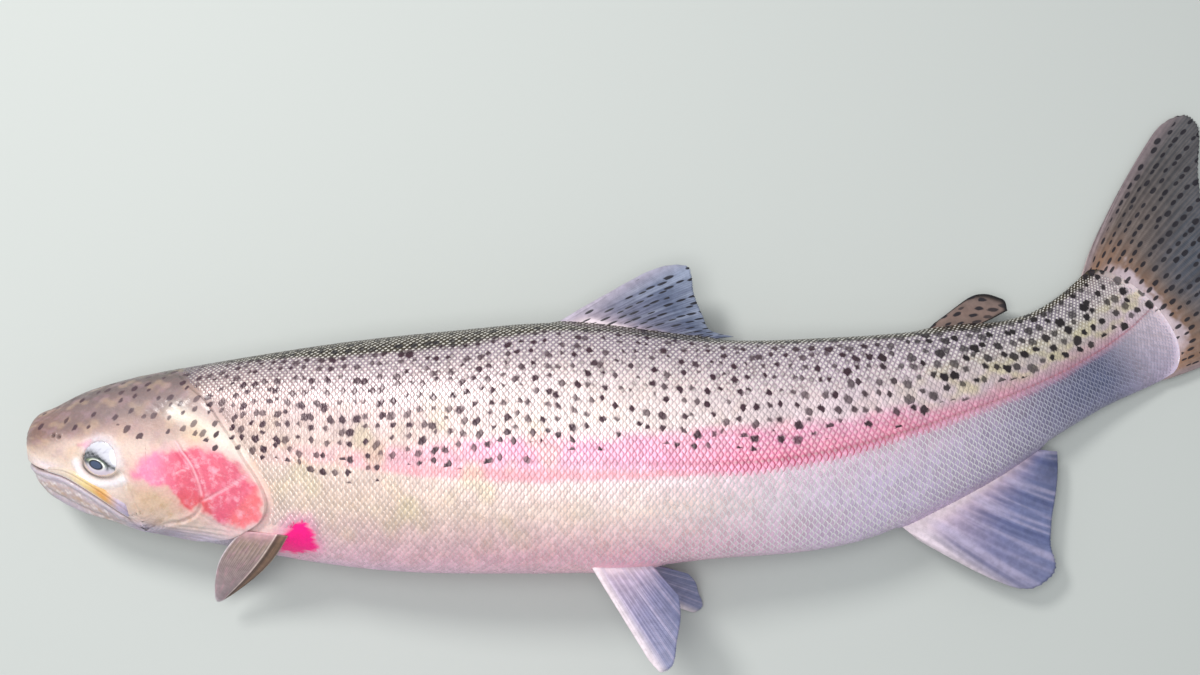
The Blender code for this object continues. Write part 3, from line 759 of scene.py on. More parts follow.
class Nodes:
    """A material's nodes, made with short calls."""

    def __init__(self, name):
        self.material = bpy.data.materials.new(name)
        self.material.use_nodes = True
        self.tree = self.material.node_tree
        self.shader = self.tree.nodes["Principled BSDF"]

    def add(self, kind, inputs, **settings):
        node = self.tree.nodes.new(kind)
        for key, value in settings.items():
            setattr(node, key, value)
        return self.put(node, inputs)

    def put(self, node, inputs):
        for key, value in inputs.items():
            if isinstance(value, bpy.types.NodeSocket):
                self.tree.links.new(value, node.inputs[key])
            else:
                node.inputs[key].default_value = value
        return node

    def finish(self, sockets):
        """The material, with these values and links on its shader's sockets."""
        self.put(self.shader, sockets)
        return self.material

    def math(self, operation, a, b=0.0):
        return self.add("ShaderNodeMath", {0: a, 1: b}, operation=operation).outputs[0]

    def times(self, a, b):
        return self.math("MULTIPLY", a, b)

    def plus(self, a, b):
        return self.math("ADD", a, b)

    def minus(self, a, b):
        return self.math("SUBTRACT", a, b)

    def square(self, a):
        return self.math("POWER", self.math("ABSOLUTE", a), 2)

    def vector(self, operation, a, b):
        return self.add("ShaderNodeVectorMath", {0: a, 1: b}, operation=operation).outputs[0]

    def scaled(self, vector, scale):
        return self.add("ShaderNodeVectorMath", {0: vector, "Scale": scale}, operation="SCALE").outputs[0]

    def split(self, vector, kind="XYZ"):
        return self.add("ShaderNodeSeparate" + kind, {0: vector}).outputs

    def blend(self, share, a, b, how="MIX"):
        return self.add("ShaderNodeMix", {0: share, 6: a, 7: b}, data_type="RGBA", blend_type=how).outputs[2]

    def range(self, value, low, high, to_low=0.0, to_high=1.0):
        return self.add("ShaderNodeMapRange", {0: value, 1: low, 2: high, 3: to_low, 4: to_high},
                        interpolation_type="SMOOTHSTEP").outputs[0]

    def noise(self, scale, detail=2.0, roughness=0.5):
        where = self.add("ShaderNodeTexCoord", {}).outputs["Object"]
        return self.add("ShaderNodeTexNoise", {"Vector": where, "Scale": scale, "Detail": detail,
                                               "Roughness": roughness}).outputs["Fac"]

    def uneven(self, low, high, *noise):
        """Noise over the object, from low to high."""
        return self.range(self.noise(*noise), 0.3, 0.7, low, high)

    def read(self, name, output="Fac"):
        return self.add("ShaderNodeAttribute", {}, attribute_name=name).outputs[output]

    def bump(self, height, distance):
        return self.add("ShaderNodeBump", {"Height": height, "Distance": distance,
                                           "Strength": 0.5}).outputs["Normal"]


def spots(n, ink, spread=1.0, swell=1.0):
    """Share of dark pigment: an uneven spot in each filled cell of the pattern, packed closer by spread."""
    where = n.read("spot", "Vector")
    radius = n.split(where)[2]
    shift = n.add("ShaderNodeTexNoise", {"Vector": where, "Scale": 3, "Detail": 3}).outputs["Color"]
    shift = n.scaled(n.vector("SUBTRACT", shift, (0.5, 0.5, 0.5)), 0.3)
    cells = n.add("ShaderNodeTexVoronoi", {"Vector": n.vector("ADD", where, shift), "Scale": spread,
                                           "Randomness": 0.6}, voronoi_dimensions="2D").outputs
    chance = n.split(cells["Color"], "Color")
    size = n.times(radius, n.range(chance[1], 0, 1, 0.66 * swell, 1.1 * swell))
    near = n.range(n.minus(cells["Distance"], size), -0.08, 0.045, 1, 0)
    near = n.times(near, n.range(chance[2], 0.1, 0.7, 0.8, 1))
    return n.times(near, n.math("LESS_THAN", chance[0], n.read(ink)))


def dashes(n):
    """Share of dark pigment between the rays of a fin: rows of short dashes along them."""
    def from_middle(value, shift):
        return n.plus(n.minus(n.math("FRACT", value), 0.5), shift)

    across, out, half_length = n.split(n.read("spot", "Vector"))
    ray = n.plus(across, 0.5)
    row = n.math("FLOOR", ray)
    start = n.add("ShaderNodeTexWhiteNoise", {"W": row}, noise_dimensions="1D").outputs["Value"]
    along = n.plus(out, n.times(start, 7))
    cell = n.add("ShaderNodeCombineXYZ", {0: row, 1: n.math("FLOOR", along)}).outputs[0]
    chance = n.add("ShaderNodeTexWhiteNoise", {"Vector": cell}, noise_dimensions="2D").outputs
    size, filled, shift = n.split(chance["Color"], "Color")
    side = n.math("DIVIDE", from_middle(ray, n.times(n.minus(shift, 0.5), 0.35)), n.read("wide"))
    ahead = n.math("DIVIDE", from_middle(along, n.times(n.minus(chance["Value"], 0.5), 0.5)), half_length)
    distance = n.math("SQRT", n.plus(n.square(side), n.square(ahead)))
    distance = n.math("DIVIDE", distance, n.range(size, 0, 1, 0.75, 1.15))
    return n.times(n.range(distance, 0.85, 1.3, 1, 0), n.math("LESS_THAN", filled, n.read("ink")))


VIOLET_SPOT = (0.06, 0.024, 0.038, 1)
BROWN_SPOT = (0.014, 0.008, 0.01, 1)
FIN_SPOT = (0.017, 0.015, 0.021, 1)
# colour of each scale's bright dot: its pale middle, and in part a painted highlight
DOT_AND_GLINT_COLOUR = (0.92, 0.88, 0.82, 1)
YELLOW_CAST = (1, 0.93, 0.8, 1)
PALE_FLUSH = (0.96, 0.62, 0.72, 1)


def scale_colour(n, colour):
    """Colour of single scales: a tone of their own, a rim, and a pale dot behind the middle, in part a
    painted highlight.
    """
    out, side, _ = n.split(n.read("plate", "Vector"))
    colour = n.scaled(colour, n.range(n.read("tone"), 0, 1, 0.88, 1.1))
    rim = n.times(n.range(out, 0.66, 0.84), n.read("edge_share"))
    colour = n.blend(rim, colour, n.read("edge", "Color"))
    # the bright dot: partly the pale middle, partly a painted highlight
    off = n.plus(n.square(n.minus(out, 0.55)), n.times(n.square(side), 0.6))
    dot = n.times(n.range(off, 0.03, 0.09, 1, 0), n.read("dot"))
    return n.blend(dot, colour, DOT_AND_GLINT_COLOUR)


def flesh_material(name, scaled):
    """Wet skin in the body's own markings. scaled adds what shows on single scales."""
    n = Nodes(name)
    tone = n.times(n.uneven(0.94, 1.05, 60, 3), n.uneven(0.93, 1.06, 700, 3, 0.6))
    colour = n.scaled(n.read("tint", "Color"), tone)
    yellow = n.range(n.noise(95, 4, 0.6), 0.45, 0.7)
    colour = n.blend(n.times(yellow, 0.35), colour, YELLOW_CAST, "MULTIPLY")
    paler = n.times(n.range(n.noise(240, 4, 0.65), 0.48, 0.72), n.read("flush"))
    colour = n.blend(n.times(paler, 0.45), colour, PALE_FLUSH)
    if scaled:
        colour = scale_colour(n, colour)
    pigment = n.blend(n.read("brown"), VIOLET_SPOT, BROWN_SPOT)
    dark = n.math("MAXIMUM", spots(n, "ink"), n.times(spots(n, "faint", 1.45, 0.95), 0.45))
    return n.finish({
        "Base Color": n.blend(n.times(dark, n.read("depth")), colour, pigment),
        "Roughness": n.uneven(0.26, 0.42, 300, 2) if scaled else n.uneven(0.34, 0.5, 300, 2),
        "Normal": n.bump(n.noise(1200, 3, 0.6), 0.0003 if scaled else 0.0004),
        "Metallic": 0.25 if scaled else 0,
        "Coat Weight": 0.4 if scaled else 0.3,
        "Coat Roughness": 0.12,
        "Subsurface Weight": 0 if scaled else 0.1,
        "Subsurface Radius": (0.004, 0.0015, 0.001)})


def fin_material(name, pattern=None):
    """Thin wet fin: its own tints, fine joints across the rays, and a pattern of pigment."""
    n = Nodes(name)
    colour = n.scaled(n.read("tint", "Color"), n.uneven(0.86, 1.1, 260, 4, 0.6))
    if pattern:
        colour = n.blend(n.times(pattern(n), 0.95), colour, FIN_SPOT)
    joints = n.math("SINE", n.times(n.read("joint"), 2 * np.pi))
    return n.finish({"Base Color": colour, "Roughness": n.uneven(0.3, 0.48, 200, 2),
                     "Normal": n.bump(joints, 0.00005), "Specular IOR Level": 0.3,
                     "Coat Weight": 0.12, "Coat Roughness": 0.15})


def eye_material():
    n = Nodes("wet_eye")
    return n.finish({"Base Color": n.read("tint", "Color"), "Roughness": 0.18,
                     "Coat Weight": 1, "Coat Roughness": 0.02})


# ---- skin

HEAD_ROWS, TRUNK_ROWS, HALF_AROUND = 188, 132, 150
MOUTH_SHARE = 0.66  # column that follows the mouth line, as a share of the way from back to belly
SCALE_DEPTH = 0.45  # how far the scaled skin lies inside the solids, in mm


def column_shares():
    """Where the columns of the skin lie between back (0) and belly (1): closer by the eye and mouth."""
    w = np.linspace(0, 1, 2001)
    density = 1 + 1.3 * bump(w - MOUTH_SHARE, 0.04) + 0.5 * bump(w - 0.5, 0.14)
    total = np.concatenate([[0], np.cumsum((density[1:] + density[:-1]) / 2)])
    return np.interp(np.linspace(0, total[-1], HALF_AROUND + 1), total, w)


def column_turns(along, share):
    """Turn of each column, one of which follows the mouth."""
    rest = 180 * MOUTH_SHARE
    mouth = np.clip(turn_at_height(along, curve(MOUTH_LINE, along)), 60, 170)
    mouth = mix(rest, mouth, ease(0.15, 0.094, along))
    upper = mouth * share / MOUTH_SHARE
    lower = mouth + (180 - mouth) * (share - MOUTH_SHARE) / (1 - MOUTH_SHARE)
    return np.where(share < MOUTH_SHARE, upper, lower)


def skin_places():
    """(along, turn, lift) of the skin's points: rows from snout to tail fin, and columns round the body."""
    half = column_shares()
    share = np.concatenate([half[::-1], half[1:-1]])  # left belly, back, right belly
    side = np.concatenate([np.ones(HALF_AROUND + 1), -np.ones(HALF_AROUND - 1)])
    rows = []
    for i in range(1, HEAD_ROWS + 1):
        turn = 180 * share
        for _ in range(3):  # the row's place depends on its turn, and its turn on its place
            along = curve(GILL_EDGE, turn) * (i / HEAD_ROWS) ** 1.22
            turn = column_turns(along, share)
        rows.append((along, turn * side, head_relief(along, turn * side)))
    start, turn = rows[-1][:2]
    for i in range(TRUNK_ROWS):
        part = (i / (TRUNK_ROWS - 1)) ** 1.15
        along = mix(start, stem_edge(turn), part)
        sunk = SCALE_DEPTH * ease(0, 1, i / 3) * ease(1, 0.985, part)
        rows.append((along, turn, trunk_relief(along, turn) - sunk))
    return tuple(np.stack([row[k] for row in rows]) for k in range(3))


def skin_faces(rows, width):
    """Faces over rows of width points and then the tip of the nose, closed at the nose and at the tail.

    Width is one more than the columns where the first one is repeated after the last, as in the UV map."""
    columns = 2 * HALF_AROUND
    tip, last = rows * width, (rows - 1) * width
    j, k = np.arange(0, columns, 2), np.arange(1, HALF_AROUND)
    fan = np.stack([np.full(len(j), tip), (j + 2) % width, j + 1, j], 1)
    cap = last + np.stack([k - 1, k, columns - k, (columns - k + 1) % width], 1)
    return np.concatenate([grid_quads(rows, width, width == columns)[:, ::-1], fan, cap])


def build_skin():
    along, turn, lift = skin_places()
    rows, columns = along.shape
    nose = place(0, 0, BACK_LINE[0][1])
    points = np.concatenate([on_body(along, turn, lift).reshape(-1, 3), nose[None]])
    marks = {key: np.concatenate([values, values[:1]])
             for key, values in markings(along.ravel(), turn.ravel()).items()}
    u, v = np.meshgrid(np.linspace(0.01, 0.99, rows), np.linspace(0, 1, columns + 1), indexing="ij")
    uv = np.concatenate([np.stack([u, v], -1).reshape(-1, 2), [[0, 0.5]]])
    skin = add_mesh("trout_skin", points, skin_faces(rows, columns), flesh_material("wet_skin", False), uv,
                    skin_faces(rows, columns + 1), **marks)
    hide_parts("head", "lower_jaw", "gill_cover_left", "gill_cover_right", "trunk", "tail_stem")


# ---- scales

# Pitches in mm: of the scales in a row, and of the rows with their share of it along the body
SCALE_PITCH = [(0.12, 2.8), (0.2, 3.1), (0.35, 3.3), (0.55, 3.5), (0.75, 3.6), (0.87, 3.1), (1.04, 2.2)]
ROW_PITCH = 2.2
ROW_CLOSING = 0.0026  # share of the pitch that each row towards the back loses
ROW_SPREAD = [(0.12, 0.8), (0.22, 0.9), (0.4, 1), (0.7, 1.06), (0.85, 0.9), (1.04, 0.66)]
FIRST_SCALE, LAST_SCALE = 0.128, 1.034
ROWS_A_SIDE = 52
SCALES_A_PIECE = 5800
SCALE_OVERLAP = 1.06  # width of a scale, as a share of the room in its row
FULL_PITCH = 3.6  # mm, from which on a scale is at its full thickness
SCALE_JITTER = 0.035  # how much the scales' places, in pitches, and their tilts vary
PAST_MIDLINE = 0.3  # rows that the coat may reach past the midlines of back and belly
BEHIND_GILL, BEFORE_TAIL = 0.0015, 0.004  # gaps between the coat and the head's and the stem's rear edges
UV_ALONG, UV_ROUND = 1.06, 380  # lengths and degrees that the UV map has room for
SCALE_PATCH = 0.003  # side of each scale's patch in the UV map
SPOT_SNAP = 0.35  # how far a spot's outline follows whole scales
PLATE_ALONG = np.array([-0.25, 0.18, 0.62, 0.94, 1])
PLATE_LIFT = np.array([-0.3, 0.08, 0.26, 0.32, 0.02])
PLATE_ACROSS = np.array([-1, -0.55, 0, 0.55, 1])


def row_arc(row):
    """Distance in mm of a row of scales from the lateral line; the rows close up towards the back."""
    return ROW_PITCH * row * (1 - ROW_CLOSING * np.maximum(row, 0))


def scale_places():
    """(along, arc, side, row) of every scale, in rows that run with the lateral line."""
    counts = count_table(SCALE_PITCH)
    first, last = np.interp((FIRST_SCALE, LAST_SCALE), SPINE_AT, counts)
    found = []
    for side in (1, -1):
        for row in range(-ROWS_A_SIDE, ROWS_A_SIDE + 1):
            n = np.arange(np.ceil(first), last) + 0.5 * (row % 2)
            along = np.interp(n + rng.normal(0, SCALE_JITTER, len(n)), counts, SPINE_AT)
            arc = row_arc(row + 0.1 * wobble(along * 150, row * 0.5, 3)) * MM * curve(ROW_SPREAD, along)
            turn = turn_of(along, arc)
            top, low = midlines(along)
            spare = PAST_MIDLINE * ROW_PITCH * MM
            keep = (arc < top + spare) & (arc > low - spare)
            keep &= (along > curve(GILL_EDGE, turn) + BEHIND_GILL) & (along < stem_edge(turn) - BEFORE_TAIL)
            found.append(np.stack(np.broadcast_arrays(along, arc, side, row), 1)[keep])
    found = np.concatenate(found)
    return found[clear_of_fins(found)]


def clear_of_fins(found):
    along, arc, side, _ = found.T
    _, height = beside(along, turn_of(along, arc))
    off_roots = np.minimum(off_line(PELVIC_ROOT, along, height), off_line(PECTORAL_ROOT, along, height))
    bare = np.maximum(inside(ARMPIT, along, height), inside(PECTORAL_BASE, along, height))
    return (off_roots > 1.6) & ((bare < -0.3) | (side < 0))


def plate_shape():
    """(a, b, lift) of the points of a scale: along it, across it from -1 to 1, and above the skin in mm."""
    a, b = (v.ravel() for v in np.meshgrid(PLATE_ALONG, PLATE_ACROSS, indexing="ij"))
    return a, b, np.repeat(PLATE_LIFT, len(PLATE_ACROSS)) - 0.16 * (b * b)


def scale_marks(along, arc, root_turn):
    """What the material reads of whole scales, from the places of their middles."""
    _, height = beside(along, root_turn)
    rise = rise_at(along, arc)
    edge, share = scale_edge_colour(along, height, rise)
    # dot: each scale's pale middle, in part a painted highlight
    return {"edge": edge, "edge_share": share, "dot": scale_pale_dot_and_glint(along, height, rise),
            "tone": rng.uniform(0, 1, along.shape)}


def build_scales():
    """All scales at once, as arrays over scales and over the points of one, and then in pieces."""
    found = scale_places()
    along, arc, side, row = found.T[..., None]
    a, b, shape_lift = plate_shape()
    pitch = curve(SCALE_PITCH, along) * rng.uniform(0.96, 1.04, along.shape)
    half = SCALE_OVERLAP * (row_arc(row + 0.5) - row_arc(row - 0.5)) * curve(ROW_SPREAD, along)
    tilt = rng.normal(0, SCALE_JITTER, along.shape)
    x = along + pitch * (a * (1 - 0.42 * np.abs(b) ** 1.8)) / FISH_MM
    y = arc + half * (b + tilt * a * 2) * MM
    turn = turn_of(x, y) * side
    lift = (trunk_relief(x, turn) - SCALE_DEPTH + shape_lift * np.minimum(pitch / FULL_PITCH, 1)
            + rng.uniform(-0.03, 0.05, along.shape))
    points = on_body(x, turn, lift)
    root_turn = turn_of(along, arc) * side
    marks = markings(x, turn)
    marks["spot"] = mix(marks["spot"], spot_place(along, root_turn), SPOT_SNAP)
    marks.update(scale_marks(along, arc, root_turn), plate=np.stack([a, b, 0 * b], 1)[None])
    marks = {key: np.broadcast_to(values, x.shape + values.shape[2:]) for key, values in marks.items()}
    root = np.stack([along / UV_ALONG, 0.5 - root_turn / UV_ROUND], -1)
    patch = np.stack([(a - a[0]) / (a[-1] - a[0]), (b + 1) / 2], 1) * SCALE_PATCH
    material = flesh_material("wet_scales", True)
    pieces = int(np.ceil(len(found) / SCALES_A_PIECE))
    for k, chosen in enumerate(np.array_split(np.arange(len(found)), pieces)):
        add_scales(f"scales_{k + 1}", points[chosen], (root + patch)[chosen], side[chosen] < 0, material,
                   {key: values[chosen] for key, values in marks.items()})
    print("scales", len(found))


def add_scales(name, points, uv, right, material, layers):
    """One piece of the coat of scales. right says which of them are on the right flank."""
    count, size = points.shape[:2]
    plate = grid_quads(len(PLATE_ALONG), len(PLATE_ACROSS))
    faces = np.arange(count)[:, None, None] * size + plate
    faces = np.where(right[..., None], faces, faces[..., ::-1]).reshape(-1, 4)
    layers = {key: values.reshape(-1, *values.shape[2:]) for key, values in layers.items()}
    piece = add_mesh(name, points.reshape(-1, 3), faces, material, uv.reshape(-1, 2), **layers)


# ---- fins

def ray_ridge(t, r, rays):
    """Height of the rays over the web between them, from 0 to 1. Each ray forks twice on its way out."""
    u = t * rays - np.floor(t * rays) - 0.5
    first, second = 0.24 * ease(0.12, 0.55, r), 0.115 * ease(0.5, 0.95, r)
    width = mix(0.17, 0.065, ease(0, 0.9, r))
    return np.max([bump(u - a * first - b * second, width) for a in (-1, 1) for b in (-1, 1)], axis=0)


def fin_half(t, r, ridge, thick, web):
    """Half the thickness of a fin in metres."""
    rim = span(0, 0.02, 0.98, 1, t) * ease(1, 0.96, r)
    rays_high = mix(1, mix(web, 1, ridge), ease(0.03, 0.25, r)) * mix(0.3, 1, ease(0, 0.07, r))
    return 0.5 * MM * mix(thick[0], thick[1], r ** 0.7) * rays_high * mix(0.35, 1, rim)


def rim_quads(rows, columns):
    """Faces that join the rims of two equal grids of points, the second numbered after the first."""
    count = rows * columns
    across, down = np.arange(columns - 1), np.arange(rows - 1) * columns
    edge = np.concatenate([across, down + columns - 1, count - 1 - across, count - columns - down])
    after = np.roll(edge, -1)
    return np.stack([edge, after, after + count, edge + count], 1)


def no_ink(t, r):
    return np.zeros_like(t)


def fin_sheet(name, middle, colours, material, rays, columns, rows=44, thick=(2.2, 0.6), ink=no_ink,
              dash=(7, 0.3, 0.25), ragged=0.008, web=0.55):
    """A closed thin fin. middle(t, r) gives its middle surface; t runs over the rays, r along them.

    thick is in mm, at the root and at the rim. A fin with no rays is smooth. dash is the pitch of its dark
    dashes in mm, their half length in pitches, and their half width in rays. web is how thick the fin is
    between its rays, as a share of a ray."""
    t, r = np.meshgrid(np.linspace(0, 1, columns), np.linspace(0, 1, rows), indexing="xy")
    ridge = ray_ridge(t, r, rays) if rays else np.ones_like(t)
    end_ridge = ray_ridge(t, np.ones_like(r), rays) if rays else ridge
    points = middle(t, r * (1 - ragged * (1 - end_ridge) * r ** 6))
    across = unit(np.cross(np.gradient(points, axis=1), np.gradient(points, axis=0)))
    if across[rows // 2, columns // 2, 2] < 0:
        across = -across
    half = across * fin_half(t, r, ridge, thick, web)[..., None]
    both = press(np.stack([points + half, points - half]).reshape(-1, 3))
    reach = np.linalg.norm(points - points[:1], axis=-1) / MM
    layers = {"tint": np.clip(colours(t, r, ridge), 0, 1),
              "spot": np.stack([t * (rays or 4), reach / dash[0], 0 * t + dash[1]], -1),
              "ink": ink(t, r), "wide": 0 * t + dash[2], "joint": reach / 1.1}
    layers = {key: np.stack([values] * 2).reshape(-1, *values.shape[2:]) for key, values in layers.items()}
    uv = np.concatenate([np.stack([start + 0.48 * t.ravel(), 0.01 + 0.98 * r.ravel()], 1)
                         for start in (0.01, 0.51)])
    sheet = grid_quads(rows, columns)
    faces = np.concatenate([sheet, sheet[:, ::-1] + rows * columns, rim_quads(rows, columns)[:, ::-1]])
    normal = np.cross(points[0, 1] - points[0, 0], points[1, 0] - points[0, 0])
    if np.dot(normal, across[0, 0]) < 0:
        faces = faces[:, ::-1]
    return add_mesh(name, both, faces, material, uv, **layers)


def middle_fin(line, start, end, angles, lengths, inward, bend=0, sway=((0, 0.0), (1, 0.0))):
    """Middle surface of a fin on the back or belly, as in the solids."""
    def middle(t, r):
        along = mix(start, end, t)
        angle = np.radians(curve(angles, t) + bend * t * r)
        reach = curve(lengths, t) * r
        return place(along + reach * np.cos(angle), curve(sway, r),
                     curve(line, along, True) - inward + reach * np.sin(angle))
    return middle


def tail_middle(t, r, overlap=0.006):
    """Middle surface of the tail fin, whose root lies a little inside the tail's stem."""
    edge = stem_edge(180 * t)
    middle, depth = section(edge)[:2]
    angle = np.radians(curve(CAUDAL["angles"], t) + curve(CAUDAL["bend"], t) * r)
    reach = curve(CAUDAL["lengths"], t) * r
    return place(edge - overlap + (reach + overlap * r) * np.cos(angle), 0,
                 middle + depth * np.cos(np.pi * t) * 0.985 + reach * np.sin(angle))


def paired_middle(start, end, first, last, lengths, curl, bow, overlap=0.004):
    """Middle surface of a fin on a flank, as in the solids."""
    first, last = unit(np.array(first)), unit(np.array(last))
    normal = unit(np.cross(first, last))
    whole = np.arccos(first @ last)

    def middle(t, r):
        t, r = t[..., None], r[..., None]
        direction = (np.sin((1 - t) * whole) * first + np.sin(t * whole) * last) / np.sin(whole)
        return (mix(start, end, t) + direction * ((curve(lengths, t) + overlap) * r - overlap)
                + normal * (curl * r * r * np.sin(np.pi * t))
                + (end - start) * (bow * (t - 0.5) * np.sin(np.pi * r)))
    return middle


def mirrored(half, sign):
    """Both halves of a table, from the points of its upper half. The lower values have this sign."""
    return half + [(1 - t, sign * value) for t, value in half[-2::-1]]


DORSAL = dict(line=BACK_LINE, start=0.458, end=0.59, inward=0.004, bend=-6,
              sway=[(0, 0), (0.6, 0), (1, -0.004)],
              angles=[(0, 34), (0.06, 34), (0.13, 29), (0.2, 28), (0.35, 26), (0.6, 21), (1, 15)],
              lengths=[(0, 0.018), (0.03, 0.052), (0.06, 0.083), (0.09, 0.106), (0.13, 0.118), (0.2, 0.11),
                       (0.35, 0.088), (0.6, 0.059), (0.8, 0.038), (1, 0.034)])
ADIPOSE = dict(line=BACK_LINE, start=0.812, end=0.86, inward=0.004,
               angles=[(0, 27), (0.5, 23), (0.75, 14), (1, 5)],
               lengths=[(0, 0.016), (0.25, 0.046), (0.5, 0.054), (0.75, 0.055), (1, 0.042)])
ANAL = dict(line=BELLY_LINE, start=0.746, end=0.872, inward=-0.004, bend=6,
            sway=[(0, 0), (0.5, 0), (1, -0.006)],
            angles=[(0, -53), (0.13, -53), (0.2, -49), (0.4, -46), (0.7, -48), (1, -36)],
            lengths=[(0, 0.022), (0.03, 0.052), (0.06, 0.084), (0.09, 0.104), (0.13, 0.114), (0.2, 0.12),
                     (0.35, 0.097), (0.5, 0.079), (0.75, 0.053), (1, 0.024)])
CAUDAL = dict(angles=mirrored([(0, 28), (0.056, 28), (0.111, 25), (0.3, 14), (0.5, 0)], -1),
              bend=mirrored([(0, -6), (0.056, -7), (0.111, -9), (0.3, -5), (0.5, 0)], -1),
              lengths=mirrored([(0, 0.08), (0.056, 0.146), (0.111, 0.172), (0.167, 0.166), (0.3, 0.118),
                                (0.5, 0.074)], 1))
PECTORAL_LENGTHS = [(0, 0.06), (0.15, 0.061), (0.5, 0.057), (0.8, 0.0495), (1, 0.0425)]
PELVIC_LENGTHS = [(0, 0.0585), (0.05, 0.066), (0.2, 0.0642), (0.5, 0.049), (0.8, 0.034), (1, 0.022)]
PELVIC_ENDS = ((0.494, -0.104), (0.546, -0.103))
# Paired fins: side, ends of the root, directions of the first and last ray, curl, and bow of the rays
PECTORALS = {
    "pectoral_left": (1, ((0.2335, -0.0815), (0.194, -0.078)), (-0.6, -0.52, -0.61), (-0.43, -0.66, -0.62),
                      0.003, 0.34),
    "pectoral_right": (-1, ((0.228, -0.066), (0.244, -0.076)), (0.99, -0.1, -0.07), (0.92, -0.38, -0.01),
                       0, 0)}
PELVICS = {
    "pelvic_left": (1, PELVIC_ENDS, (0.53, -0.85, 0.06), (0.66, -0.75, 0.04), 0.003, 0),
    "pelvic_right": (-1, PELVIC_ENDS, (0.84, -0.42, -0.32), (0.93, -0.25, -0.27), -0.002, 0)}


def dorsal_colour(t, r, ridge):
    return paint(
        shades(r, (0, (232, 208, 216)), (0.1, (186, 168, 182)), (0.32, (118, 118, 140)),
               (0.7, (100, 110, 136)), (1, (146, 156, 180))),
        (58, 62, 86), (1 - ridge) * ease(0.12, 0.5, r) * ease(0.15, 0.4, t) * 0.42,
        (84, 90, 116), ease(0.2, 1, wobble(t * 46, r * 1.5, 4)) * 0.35,
        # lighter blue-white streaks: painted sheen
        (176, 184, 206), ease(0, 1, wobble(t * 30, r * 2.5, 1)) * ease(0.2, 0.6, r) * 0.35,
        (200, 188, 204), ease(0.16, 0.02, t) * 0.75,
        (244, 228, 236), ease(0.19, 0.12, r) * ease(0.06, 0.16, t) * 0.85)


def adipose_colour(t, r, ridge):
    rim = np.maximum(r, np.abs(2 * t - 1) * ease(0.1, 0.3, r))
    return paint(shades(r, (0, (112, 98, 92)), (0.5, (134, 112, 104)), (0.85, (126, 108, 102)),
                        (1, (60, 50, 46))), (30, 26, 28), ease(0.86, 0.97, rim))


def pale_fin_colour(t, r, ridge):
    streak = wobble(t * 34, r * 1.4, 2)
    return paint(
        shades(r, (0, (254, 238, 242)), (0.06, (244, 222, 230)), (0.2, (204, 184, 206)),
               (0.55, (150, 146, 180)), (1, (136, 140, 172))),
        (92, 88, 124), (1 - ridge) * ease(0.04, 0.3, r) * mix(0.34, 0.22, r),
        (84, 92, 126), ease(0.35, 0.85, t) * ease(0.15, 0.5, r) * 0.35,
        (214, 200, 226), ease(0.1, 0.9, streak) * mix(0.45, 0.25, r),
        (86, 90, 130), ease(-0.2, -1, streak) * ease(0.15, 0.4, r) * 0.4,
        (250, 234, 240), ease(0.18, 0.02, t) * 0.85)


def anal_fin_colour(t, r, ridge):
    streak = wobble(t * 42, r * 1.2, 6)
    return paint(
        pale_fin_colour(t, r, ridge),
        # painted shade: darkens the fin beyond its root
        (96, 102, 144), ease(0.08, 0.4, r) * 0.35,
        (112, 124, 168), ease(0.12, 0.4, t) * ease(0.25, 0.7, r) * 0.5,
        (82, 86, 116), ease(0.45, 0.95, t) * ease(0.3, 0.9, r) * 0.6,
        (206, 196, 224), ease(0.1, 0.9, streak) * ease(0.05, 0.3, r) * 0.38,
        (64, 72, 118), ease(-0.1, -0.9, streak) * ease(0.1, 0.4, r) * 0.42,
        # pale leading edge, and along the root a painted highlight of glare
        (250, 232, 240), np.maximum(ease(0.12, 0, t), ease(0.16, 0.05, r)) * 0.8)


def caudal_colour(t, r, ridge):
    middle = span(0.14, 0.3, 0.7, 0.86, t)
    reach = 0.05 + 0.05 * middle + 0.035 * wobble(t * 34, r * 40, 5) + 0.02 * wobble(t * 95, r * 30, 2)
    return paint(
        shades(r, (0, (154, 116, 94)), (0.12, (134, 106, 90)), (0.3, (104, 92, 88)), (0.7, (76, 75, 78)),
               (1, (82, 83, 88))),
        (72, 84, 102), ease(0.25, 0.5, t) * ease(0.15, 0.5, r) * 0.55,
        (140, 128, 122), ridge * 0.25,
        (52, 50, 54), ease(0.1, 1, wobble(t * 60, r * 2.5, 3)) * ease(0.1, 0.4, r) * 0.35,
        (204, 188, 198), middle * ease(reach + 0.045, reach - 0.045, r) * 0.8,
        (146, 130, 134), np.maximum(ease(0.13, 0.05, t), ease(0.87, 0.95, t)) * 0.85,
        (200, 180, 178), (ease(0.016, 0, t) + ease(0.984, 1, t)) * 0.8)


def pectoral_colour(t, r, ridge):
    return paint(
        shades(r, (0, (214, 164, 172)), (0.16, (176, 150, 138)), (0.5, (156, 136, 134)),
               (1, (160, 144, 150))),
        (196, 172, 176), ridge * 0.3,
        (190, 150, 160), ease(0.1, 0.9, wobble(t * 22, r * 16, 2)) * 0.5,
        (84, 62, 50), ease(0.25, 0.21, t) * 0.9,
        (150, 118, 96), bump(t - 0.1, 0.05) * 0.7,
        (236, 214, 206), bump(t - 0.25, 0.015) * 0.85,
        (206, 176, 150), ease(0.03, 0, t) * 0.8,
        (228, 216, 222), ease(0.955, 1, np.maximum(t, r)) * 0.85)


def dorsal_ink(t, r):
    return mix(1, 0.75, r) * ease(0.04, 0.12, r) * ease(0.07, 0.12, t)


def caudal_ink(t, r):
    return 0.95 * ease(0, 0.04, r) * span(0.07, 0.1, 0.9, 0.93, t)


def adipose_ink(t, r):
    return np.ones_like(t)


